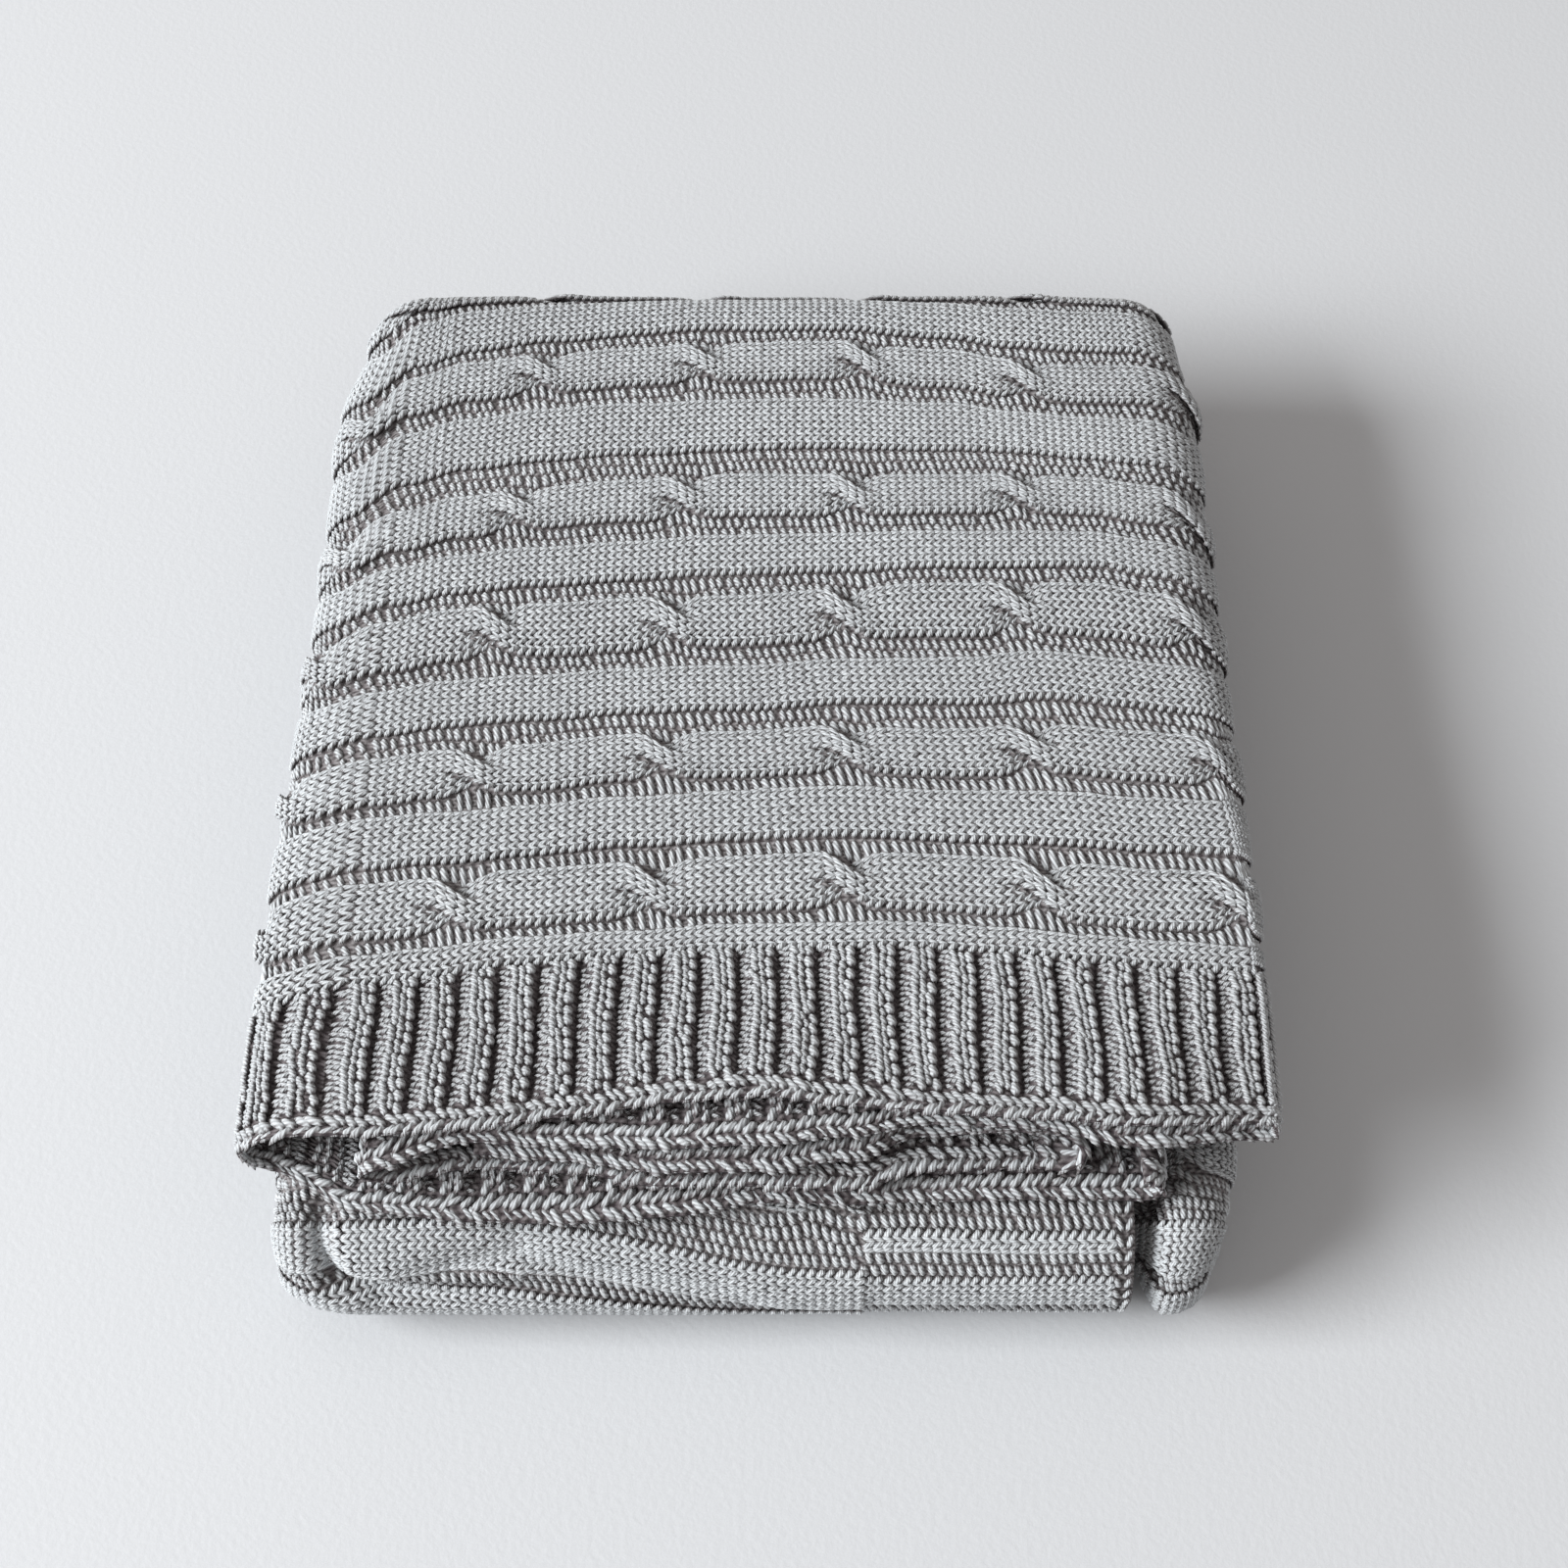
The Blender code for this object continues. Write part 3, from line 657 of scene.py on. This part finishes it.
# %% Lay grains of yarn on the cloth
GRAIN_SHOULDER = 0.46       # where along its half length a grain has its full width
GRAIN_LIMIT = 11000         # grains in one mesh


def grain_template():
    """Vertices and faces of a unit grain along its z axis."""
    bm = bmesh.new()
    bmesh.ops.create_uvsphere(bm, u_segments=4, v_segments=3, radius=1.0)
    bmesh.ops.recalc_face_normals(bm, faces=bm.faces)
    bm.verts.index_update()
    points = np.array([vert.co for vert in bm.verts])
    rings = np.abs(points[:, 2]) < 0.9
    points[rings, :2] /= np.linalg.norm(points[rings, :2], axis=-1, keepdims=True)
    points[rings, 2] = np.sign(points[rings, 2]) * GRAIN_SHOULDER
    faces = [[vert.index for vert in face.verts] for face in bm.faces]
    bm.free()
    return points, faces


GRAIN, GRAIN_FACES = grain_template()
FLATTEN = 0.85              # a stroke's thickness as a share of its width
made_pieces = {}


def grain_piece(name, u, v, lift, along_u, along_v, width, shade, sink=0.3, side=1):
    """Join grains into meshes. Half lengths along u and v and widths are in metres."""
    arrays = np.broadcast_arrays(u, v, lift, along_u, along_v, width, shade)
    u, v, lift, along_u, along_v, width, shade = [np.array(item, float).ravel() for item in arrays]
    pieces = []
    parts = max(1, math.ceil(len(u) / GRAIN_LIMIT))
    for number, chosen in enumerate(np.array_split(np.arange(len(u)), parts)):
        along, across, normal = tangents(u[chosen], v[chosen])
        normal = normal * side
        middle = lay(u[chosen], v[chosen]) + normal * lift[chosen][:, None]
        axis = along_u[chosen][:, None] * along + along_v[chosen][:, None] * across
        beside = np.cross(normal, axis)
        beside /= np.linalg.norm(beside, axis=-1, keepdims=True)
        half = width[chosen][:, None] / 2
        points = (middle[:, None, :]
                  + GRAIN[None, :, 2, None] * axis[:, None, :]
                  + GRAIN[None, :, 0, None] * (beside * half)[:, None, :]
                  + GRAIN[None, :, 1, None] * (normal * half * FLATTEN)[:, None, :]
                  - (GRAIN[None, :, 2, None] ** 2) * (normal * half * 2 * sink)[:, None, :])
        piece_name = name if parts == 1 else f"{name}_{number + 1}"
        pieces.append(join_grains(piece_name, points, shade[chosen]))
    made_pieces[name] = pieces
    print(name, len(u), "grains in", len(pieces), "pieces")
    return pieces


def join_grains(name, points, shade):
    """One mesh from many grains: the template's faces repeated, with attributes for the yarn."""
    count, each = points.shape[:2]
    sizes = np.array([len(face) for face in GRAIN_FACES])
    corners = np.concatenate(GRAIN_FACES)
    loops = (corners[None, :] + np.arange(count)[:, None] * each).ravel()
    starts = np.concatenate([[0], np.cumsum(np.tile(sizes, count))[:-1]])
    mesh = bpy.data.meshes.new(name)
    mesh.vertices.add(count * each)
    mesh.vertices.foreach_set("co", points.ravel().astype(np.float32))
    mesh.loops.add(len(loops))
    mesh.loops.foreach_set("vertex_index", loops.astype(np.int32))
    mesh.polygons.add(len(starts))
    mesh.polygons.foreach_set("loop_start", starts.astype(np.int32))
    mesh.update()
    mesh.validate()
    mesh.shade_smooth()
    # painted highlight on the top of each grain, and painted shade towards its sides and ends
    crest = np.clip(0.5 + 0.5 * GRAIN[:, 1] - 0.55 * GRAIN[:, 2] ** 2, 0, 1)
    # the depth attribute holds each stroke's painted shade
    values = {"crest": np.tile(crest, count), "tint": np.repeat(chance.uniform(0, 1, count), each),
              "depth": np.repeat(shade, each)}
    for key, value in values.items():
        attribute = mesh.attributes.new(key, "FLOAT", "POINT")
        attribute.data.foreach_set("value", value.astype(np.float32))
    uv = mesh.uv_layers.new(name="yarn")
    turn = np.arctan2(GRAIN[:, 1], GRAIN[:, 0]) / (2 * math.pi)
    flat = np.stack([GRAIN[:, 2], turn], axis=-1)[corners]
    uv.data.foreach_set("uv", np.tile(flat, (count, 1)).ravel().astype(np.float32))
    return add_object(name, mesh)


# %% [markdown]
# ## Stitches of the panel
# A knit wale gets two strokes of yarn for each course, which meet in a V that points along
# the wale. A purl groove shows longer strokes that stand across it. In a cable six wales
# form two strands: at each crossing the upper strand passes over to the lower side, and
# the other one goes behind it. In a file of real knitting these would be charts and loops,
# and here the same rules are arrays of places.

# %% Helpers for rows of stitches
FIRST_COURSE = 0.0090
courses = np.arange(FIRST_COURSE, U_ENDS[-1] - 0.002, COURSE)
YARN = 0.0023
# Half length of a stroke in courses, its lean in wales, and its width in yarns. A band's
# upper stroke lies along its edge, and the lower one stands at its edge.
STROKE, UPPER_STROKE, LOWER_STROKE = (0.86, 0.36, 1.0), (0.95, 0.10, 1.0), (0.50, 0.58, 1.15)
# painted shade: how much darker the yarn is painted in hollows
HOLLOW_SHADE = 1.6            # how much darker the yarn is drawn where hardly any sky is seen


def wobble(u, v):
    """Slow unevenness of the knitting, in metres."""
    return 0.0005 * np.sin(u / 0.031 + v * 47) + 0.0004 * np.sin(u / 0.013 - v * 31 + 1.3)


def jitter(size, stitches):
    """A small random amount for each of these stitches."""
    return chance.normal(0, size, len(stitches))


def varied(size, share, stitches):
    """Sizes that differ from stitch to stitch by about this share."""
    return size * (1 + jitter(share, stitches))


def legs(u, v, lift, width, slope, shade, across, wales):
    """Both strokes of each stitch of a wale, with the strokes of a band's edges."""
    rows, outermost = [], 1 - 2 / wales
    for leg in (-1, 1):
        edge = [(across > outermost) & (leg > 0), (across < -outermost) & (leg < 0)]
        half, lean, yarn = [np.select(edge, [upper, lower], usual) for upper, lower, usual
                            in zip(UPPER_STROKE, LOWER_STROKE, STROKE)]
        half = half * COURSE
        yarn = yarn * YARN * min(width / PLAIN_WALE, 1.0)
        rows.append((u + jitter(0.00012, u), v + leg * 0.25 * width + jitter(0.00010, u),
                     lift + jitter(0.00006, u), varied(half, 0.05, u),
                     half * slope - leg * lean * width + jitter(0.00012, u),
                     varied(yarn, 0.07, u), shade))
    return rows


def joined(rows):
    return [np.concatenate(parts) for parts in zip(*rows)]


# %% Plain bands and cables
OVER, UNDER = 0.0100, 0.0170                    # half lengths of the two strands' crossing
LIFT_OVER, SINK_UNDER, LIFT_REACH = 0.0016, -0.0024, 0.010
STRAND_RISE = 0.0007
SLOPE_STEP = 0.001


def cable_path(d, v_middle, half, place):
    """Where a wale of a cable runs, d past a crossing, and how far it is lifted."""
    over = place > 0
    in_strand = place - 0.5 * np.sign(place)
    reach = np.where(over, OVER, UNDER)
    centre = 0.5 * np.sign(place) * (1 - 2 * ramp(d, -reach, reach))
    near = np.exp(-((d / LIFT_REACH) ** 2))
    across = centre + in_strand * (1 - 0.16 * near)
    lift = np.where(over, LIFT_OVER, SINK_UNDER) * near
    arch = np.sqrt(np.clip(1 - (0.93 * across) ** 2, 0, 1))
    rounding = CABLE_CROWN * (arch * (1 - 0.3 * near) - 0.2)
    strand = STRAND_RISE * (1 - (2 * in_strand) ** 2) * (0.3 + 0.7 * near)
    return v_middle + across * half, BAND_RISE + rounding + strand + lift


plain_rows, cable_rows = [], []
for bands, border in ((BANDS, False), (BORDER_BANDS, True)):
    for kind, low, high in bands:
        low, high = low / 1000, high / 1000
        middle, half = (low + high) / 2, (high - low) / 2
        if not SEAM_V < middle < REAR_SEAM_V:
            continue
        wales = CABLE_WALES if kind == "cable" else max(2, round((high - low) / PLAIN_WALE))
        for number in range(wales):
            place = (number + 0.5) / wales * 2 - 1
            u = courses + jitter(0.00012, courses)
            if kind == "cable":
                # measured without the jitter, so that a whole course swaps strands at once
                d = from_crossing(courses, middle)
                v, lift = cable_path(d, middle, half, place)
                ahead, behind = [cable_path(d + step, middle, half, place)[0]
                                 for step in (SLOPE_STEP, -SLOPE_STEP)]
                slope = (ahead - behind) / (2 * SLOPE_STEP)
            else:
                v, slope = 0 * u + middle + place * half, 0 * u
                lift = relief(u, v) + 0.0004
            across = (v - middle) / half
            v = v + wobble(u, middle)
            keep = (in_border(u, v) == border) & (v > SEAM_V + 0.0012) & panel_sky.shows(u, v)
            width = 2 * half / wales
            # painted shade, darker where the stitch lies in a hollow
            lift, shade = (lift * off_floor(u, v))[keep], panel_sky.hidden(u, v)[keep] * HOLLOW_SHADE
            found = legs(u[keep], v[keep], lift, width, slope[keep], shade, across[keep], wales)
            (cable_rows if kind == "cable" else plain_rows).extend(found)
for name, rows in (("plain_stitches", plain_rows), ("cable_stitches", cable_rows)):
    grain_piece(name, *joined(rows))

# %% [markdown]
# ## Grooves and borders
# A purl groove is low, so mostly the long strokes show that cross it from band to band. At
# the border the knitting ends in a chain that has rolled over.

# %% Purl grooves between the bands
STROKE_WIDTH, STROKE_SHIFT = 0.0029, -0.0004


def groove_edge(u, band, side):
    """The edge of a band that a groove meets, which follows the dips of a cable."""
    kind, low, high = band
    middle, half = (low + high) / 2000, (high - low) / 2000
    share = cable_edge(from_crossing(u, middle), side) if kind == "cable" else 1.0
    return 0 * u + middle + side * half * share


purl_rows = []
for bands, border in ((BANDS, False), (BORDER_BANDS, True)):
    for below, above in zip(bands, bands[1:]):
        rows = max(1, round((above[1] - below[2]) / 1000 / GROOVE_ROW))
        for row in range(rows):
            u = courses + (row % 2) * COURSE / 2 + jitter(0.0003, courses)
            first, last = groove_edge(u, below, 1), groove_edge(u, above, -1)
            v = mix(first, last, (row + 0.5) / rows) + STROKE_SHIFT + jitter(0.0003, u)
            v = v + wobble(u, above[1] / 1000)
            keep = (in_border(u, v) == border) & (v > SEAM_V + 0.002) & (v < REAR_SEAM_V - 0.002)
            keep &= panel_sky.shows(u, v)
            u, v, length = u[keep], v[keep], ((last - first) / rows)[keep]
            # painted shade: the strokes lie low in the groove, and are darker still in hollows
            purl_rows.append((u, v, relief(u, v) + 0.0006 + jitter(0.00015, u),
                              0.0011 + jitter(0.0003, u), -0.64 * length,
                              varied(STROKE_WIDTH, 0.1, u),
                              0.5 + HOLLOW_SHADE * panel_sky.hidden(u, v)))
grain_piece("purl_stitches", *joined(purl_rows), sink=0.40)

# %% Rolled chain at the end of the border
# END_SHADE is painted shade that dims the rolled chain
END_CHAIN_U, END_STEP, END_SHADE = 0.0045, 0.0058, 0.3
end_rows = []
for arm in (-1, 1):
    v = np.arange(BORDER_V, V_END - BAND_DEPTH, END_STEP)
    u = END_CHAIN_U + arm * 0.0019 + jitter(0.0002, v)
    keep = panel_sky.shows(u, v)
    u, v = u[keep], v[keep]
    end_rows.append((u, v, relief(u, v) + 0.0012, -arm * 0.0014 + jitter(0.0002, v),
                     0.0031 + 0 * v, YARN + 0 * v))
grain_piece("end_chain", *joined(end_rows), END_SHADE)

# %% [markdown]
# ## Stitches of the side bands
# A rib is five columns of stitches side by side. Each row of the table below is one of
# them, so a few numbers give every rib. The front band shows both sides at its hem. A groove
# of the right side is a ridge of the wrong side, so the same table serves there, half a rib
# further on. The rear band shows only its right side, under the back of the bundle.

# %% Ribs of both bands
RIB_COLUMNS = [
    # place in the rib; lift, half lengths along u and v, and width in millimetres;
    # strokes a course; painted shade
    (0.19, 0.5, 2.1, 0.55, 1.9, 2, 0.6),
    (0.32, 0.6, 2.1, -0.70, 2.0, 2, 0.1),
    (0.46, 0.7, 1.2, -2.6, 2.7, 2, 0.0),
    (0.65, 0.6, 0.9, -2.6, 2.8, 1.5, 0.3),
    (0.84, 0.6, 1.1, -3.1, 3.5, 1, 0.0),
]
BAND_COURSE = 0.0050
SLANTED_COLUMNS, SLANTED_BACK = 2, 0.35     # so many columns, and how many strokes lean back
STEEPEST = -0.5


def seen_from_above(u, v, side):
    """False where this side of the cloth looks down, onto the floor or another layer."""
    return tangents(u, v)[2][:, 2] * side > STEEPEST


FRONT_RIBS = (HEM_Y + CHAIN_DEPTH + 0.001, SEAM_V - 0.0012)
REAR_RIBS = (REAR_SEAM_V + 0.0012, V_END - CHAIN_DEPTH - 0.001)
FRONT_CHAIN, REAR_CHAIN = HEM_Y + 0.0036, V_END - 0.0036
BAND_SIDES = [
    # name, side of the cloth, its sky, first and last v of the ribs, v of the chain edge
    ("outer", 1, band_sky[1], FRONT_RIBS, FRONT_CHAIN),
    ("inner", -1, band_sky[-1], FRONT_RIBS, FRONT_CHAIN),
    ("rear", 1, rear_sky, REAR_RIBS, REAR_CHAIN),
]
for side_name, side, sky, (first, last), _ in BAND_SIDES:
    rows = []
    for number, (place, lift, half_u, half_v, width, strokes, shade) in enumerate(RIB_COLUMNS):
        if side < 0:
            place = (place + 0.5) % 1.0
        ribs = np.arange(int(U_ENDS[-1] / RIB))
        steps = np.arange(first, last, BAND_COURSE / strokes)
        u, v = [grid.ravel() for grid in np.meshgrid((ribs + place) * RIB, steps, indexing="ij")]
        v = v + (number % 2) * BAND_COURSE / 2 / strokes + jitter(0.0003, v)
        u = u + jitter(0.0003, u) + 0.0006 * np.sin(v / 0.009 + u * 60)
        keep = sky.shows(u, v) & seen_from_above(u, v, side)
        u, v = u[keep], v[keep]
        height = rib_relief(u, v) * side + GROUND / 2 + lift / 1000
        if number < SLANTED_COLUMNS:
            half_v = half_v * np.where(chance.random(len(u)) < SLANTED_BACK, -1, 1)
        # the last value is painted shade, darker in hollows
        rows.append((u, v, height, varied(half_u / 1000, 0.12, u),
                     half_v / 1000 + jitter(0.0002, u), varied(width / 1000, 0.08, u),
                     shade + HOLLOW_SHADE * sky.hidden(u, v)))
    grain_piece(f"rib_stitches_{side_name}", *joined(rows), side=side)

# %% Chain edges of both bands
CHAIN_STEP = 0.0070
for side_name, side, sky, _, chain in BAND_SIDES:
    rows = []
    for arm in (-1, 1):
        for strand in (-0.5, 0.5):
            u = np.arange(0.004, U_ENDS[-1] - 0.003, CHAIN_STEP) + strand * 0.0030
            u = u + jitter(0.0004, u)
            v = chain + arm * 0.0019 + jitter(0.0003, u)
            keep = sky.shows(u, v) & seen_from_above(u, v, side)
            u, v = u[keep], v[keep]
            # painted shade dims the chain's strokes, more in hollows
            rows.append((u, v, GROUND / 2 + 0.0003 + 0.0005 * arm + jitter(0.0003, u),
                         varied(0.0032, 0.10, u), -arm * 0.0025 + jitter(0.0006, u),
                         varied(0.0031, 0.12, u), 0.15 + HOLLOW_SHADE * sky.hidden(u, v)))
    grain_piece(f"chain_edge_{side_name}", *joined(rows), side=side)

# %% [markdown]
# ## The yarn
# The yarn is a cool grey, soft and matt, of several plies twisted together. Painted light
# is in its colour: the crest of a stroke is painted light, its sides fall off to a painted
# warm dark shade, and the plies carry painted highlights over their bump.
# One small class wraps a socket, so that shader maths reads as Python expressions.

# %% Sockets as expressions
OBJECT = 3          # the Object output of Texture Coordinate


class Socket:
    """A shader value: a number or a node's output, with operators that add Math nodes."""

    def __init__(self, tree, value):
        self.tree, self.value = tree, value

    def node(self, kind, settings=None, sockets=None, output=0):
        """Any node: its settings first, then the values or links of its sockets."""
        made = self.tree.nodes.new(kind)
        for key, value in (settings or {}).items():
            setattr(made, key, value)
        for key, value in (sockets or {}).items():
            self.join(made.inputs[key], value)
        return Socket(self.tree, made.outputs[output])

    def join(self, socket, value):
        value = value.value if isinstance(value, Socket) else value
        if isinstance(value, bpy.types.NodeSocket):
            self.tree.links.new(value, socket)
        else:
            socket.default_value = value

    def math(self, operation, *others):
        return self.node("ShaderNodeMath", {"operation": operation}, dict(enumerate(others)))

    def __add__(self, other):
        return self.math("ADD", self, other)

    def __sub__(self, other):
        return self.math("SUBTRACT", self, other)

    def __mul__(self, other):
        return self.math("MULTIPLY", self, other)

    def sine(self):
        return self.math("SINE", self)

    def absolute(self):
        return self.math("ABSOLUTE", self)

    def fraction(self):
        return self.math("FRACT", self)

    def clamp(self):
        return self.node("ShaderNodeClamp", {}, {"Value": self, "Min": 0.0, "Max": 1.0})

    def noise(self, scale, detail):
        """Noise that is fixed to the object's own place."""
        place = self.node("ShaderNodeTexCoord", output=OBJECT)
        sockets = {"Vector": place, "Scale": scale, "Detail": detail}
        return self.node("ShaderNodeTexNoise", {}, sockets)

    def directions(self, uv_name):
        """The two directions of a UV map."""
        uv = self.node("ShaderNodeUVMap", {"uv_map": uv_name})
        return [self.node("ShaderNodeSeparateXYZ", {}, {0: uv}, output=axis) for axis in (0, 1)]

    def bump(self, strength, distance, surface):
        """Raise the surface by this value."""
        made = self.node("ShaderNodeBump", {},
                         {"Strength": strength, "Distance": distance, "Height": self})
        self.join(surface.inputs["Normal"], made)

    def blend(self, first, second):
        """Mix two colours by this value."""
        colours = {0: self, 6: first, 7: second}
        return self.node("ShaderNodeMix", {"data_type": "RGBA"}, colours, output=2)


def new_material(name):
    """A material, its surface, and a socket to build on."""
    material = bpy.data.materials.new(name)
    material.use_nodes = True
    tree = material.node_tree
    return material, tree.nodes["Principled BSDF"], Socket(tree, 0.0)


# %% Yarn of the stitches
LIT, PALE = (0.34, 0.365, 0.385, 1.0), (0.55, 0.59, 0.615, 1.0)
RIB_LIT, RIB_PALE = (0.31, 0.332, 0.35, 1.0), (0.51, 0.545, 0.57, 1.0)
# painted shade: the warm dark flanks of the strokes, and the gaps that the ground shows
DEEP, MIDDLE = (0.060, 0.048, 0.052, 1.0), (0.27, 0.265, 0.27, 1.0)
# painted shade of the ribs' ground, darker for the deep rib grooves
RIB_DEEP, RIB_MIDDLE = (0.030, 0.022, 0.026, 1.0), (0.16, 0.148, 0.153, 1.0)
PLY_ALONG, PLY_AROUND = 1.6, 4.0        # how the plies wind round a stroke
FUZZ_SCALE, CLOUD_SCALE = 2600.0, 16.0


def yarn_material(name, lit, pale):
    material, surface, start = new_material(name)
    crest, tint, depth = [start.node("ShaderNodeAttribute", {"attribute_name": wanted}, output=2)
                          for wanted in ("crest", "tint", "depth")]
    length, turn = start.directions("yarn")
    ply = ((length * PLY_ALONG + turn * PLY_AROUND) * (2 * math.pi)).sine() * 0.5 + 0.5
    fuzz, cloud = start.noise(FUZZ_SCALE, 2.0), start.noise(CLOUD_SCALE, 2.0)
    # light: painted highlight on crests and ply streaks, less the painted shade in the depth
    # attribute
    light = (crest * 1.30 - 0.16 + (ply - 0.5) * 0.50 + (fuzz - 0.5) * 0.60 - depth * 0.18).clamp()
    grey = (tint * 0.4 + (cloud - 0.5) * 0.6 + ply * 0.50).clamp().blend(lit, pale)
    # the flanks of the strokes are painted warm dark shade
    shaded_flank = light.blend(DEEP, MIDDLE)
    start.join(surface.inputs["Base Color"], (light * 1.35 - 0.14).clamp().blend(shaded_flank, grey))
    start.join(surface.inputs["Roughness"], (fuzz * 0.2 + 0.62).clamp())
    surface.inputs["Sheen Weight"].default_value = 0.25
    surface.inputs["Sheen Roughness"].default_value = 0.5
    surface.inputs["Specular IOR Level"].default_value = 0.25
    (ply * 0.7 + fuzz * 0.6).bump(0.7, 0.0004, surface)
    return material


# %% Ground cloth under and between the stitches
def ground_material(name, deep, middle):
    material, surface, start = new_material(name)
    course, wale = start.directions("stitches")
    across = (wale.fraction() - 0.5).absolute()
    chevron = ((course + across * 0.9) * (2 * math.pi)).sine() * 0.5 + 0.5
    column = (across * (2 * math.pi)).sine().absolute()
    knit = chevron * 0.6 + column * 0.5
    fuzz = start.noise(1500.0, 3.0)
    # painted shade: the ground's dark colour stands for the gaps between the stitches, in a knit
    # pattern
    shade = (knit * 0.8 + (fuzz - 0.5) * 0.7).clamp()
    start.join(surface.inputs["Base Color"], shade.blend(deep, middle))
    surface.inputs["Roughness"].default_value = 0.85
    surface.inputs["Specular IOR Level"].default_value = 0.2
    (knit + fuzz * 0.3).bump(0.8, 0.0012, surface)
    return material


panel_yarn = yarn_material("cable_yarn", LIT, PALE)
rib_yarn = yarn_material("rib_yarn", RIB_LIT, RIB_PALE)
panel_ground = ground_material("panel_ground", DEEP, MIDDLE)
rib_ground = ground_material("rib_ground", RIB_DEEP, RIB_MIDDLE)
rear_ground = ground_material("rear_rib_ground", RIB_MIDDLE, RIB_PALE)
print("materials:", [material.name for material in bpy.data.materials][-5:])

# %% [markdown]
# ## Tie the pieces to the frame
# The three cloths stand for the three solids. Every piece rides on the one body, and the
# stitches go with the sheet that they belong to.

band_pieces = [piece for name, found in made_pieces.items() for piece in found
               if name.startswith(("rib", "chain")) and not name.endswith("rear")]
rear_pieces = made_pieces["rib_stitches_rear"] + made_pieces["chain_edge_rear"]
panel_pieces = [piece for name, found in made_pieces.items() for piece in found
                if not name.startswith(("rib", "chain"))]
dressed_solids = [
    (panel, "throw_panel", "cable_knit_yarn", panel_pieces, panel_yarn, panel_ground),
    (front_band, "front_side_band", "rib_yarn", band_pieces, rib_yarn, rib_ground),
    (rear_band, "rear_side_band", "rib_yarn", rear_pieces, rib_yarn, rear_ground),
]
for base, node, slot, stitches, yarn, ground in dressed_solids:
    base.data.materials.append(ground)
    for piece in [base] + stitches:
        if piece is not base:
            piece.data.materials.append(yarn)
        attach(piece, "root")
    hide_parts(node)

# %% [markdown]
# ## Floor, light and camera
# The floor is plain and pale. One large soft lamp stands at the left, a little in front of
# the throw, so shadows fall softly to the right. The pale world and a weak lamp in front
# fill them. The camera looks down from the front, as the photo does.

# %% Floor
FLOOR_HALF, FLOOR_GREY = 3.0, (0.515, 0.537, 0.56, 1.0)
floor_mesh = bmesh.new()
bmesh.ops.create_grid(floor_mesh, x_segments=1, y_segments=1, size=FLOOR_HALF)
floor_data = bpy.data.meshes.new("floor")
floor_mesh.to_mesh(floor_data)
floor_mesh.free()
floor = add_object("floor", floor_data)
floor_material, floor_surface, floor_start = new_material("pale_floor")
floor_surface.inputs["Base Color"].default_value = FLOOR_GREY
floor_surface.inputs["Roughness"].default_value = 0.9
floor_start.noise(330.0, 3.0).bump(0.25, 0.0006, floor_surface)
floor_data.materials.append(floor_material)
floor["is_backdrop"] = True

# %% Lights
BUNDLE_MIDDLE = Vector((0.0, 0.0, 0.05))


def soft_lamp(name, place, width, height, power, colour):
    """A rectangle of light that faces the middle of the bundle."""
    data = bpy.data.lights.new(name, "AREA")
    data.shape = "RECTANGLE"
    data.size = width
    data.size_y = height
    data.energy = power
    data.color = colour
    lamp = add_object(name, data)
    lamp.location = place
    lamp.rotation_euler = (BUNDLE_MIDDLE - Vector(place)).to_track_quat("-Z", "Y").to_euler()


soft_lamp("key", (-5.02, -1.39, 3.05), width=3.5, height=2.2, power=705.0, colour=(1.0, 1.0, 1.0))
soft_lamp("fill", (0.3, -1.6, 1.6), width=1.6, height=1.6, power=1.5, colour=(1.0, 0.97, 0.95))
world = bpy.data.worlds.new("studio")
world.use_nodes = True
background = world.node_tree.nodes["Background"]
background.inputs["Color"].default_value = (1.0, 0.93, 0.89, 1.0)
background.inputs["Strength"].default_value = 0.48
bpy.context.scene.world = world
bpy.context.scene.view_settings.view_transform = "Standard"

# %% Camera
CAMERA_PLACE, CAMERA_TILT = (0.00997, -0.61576, 0.97866), math.radians(33.0)
camera_data = bpy.data.cameras.new("camera")
camera_data.sensor_width = 36.0
camera_data.lens = 59.36
camera = add_object("camera", camera_data)
camera.location = CAMERA_PLACE
camera.rotation_euler = (CAMERA_TILT, 0.0, 0.0)
bpy.context.scene.camera = camera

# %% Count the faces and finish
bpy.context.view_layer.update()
total = sum(len(obj.data.polygons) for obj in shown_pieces() if obj.type == "MESH")
print("faces in all:", total)
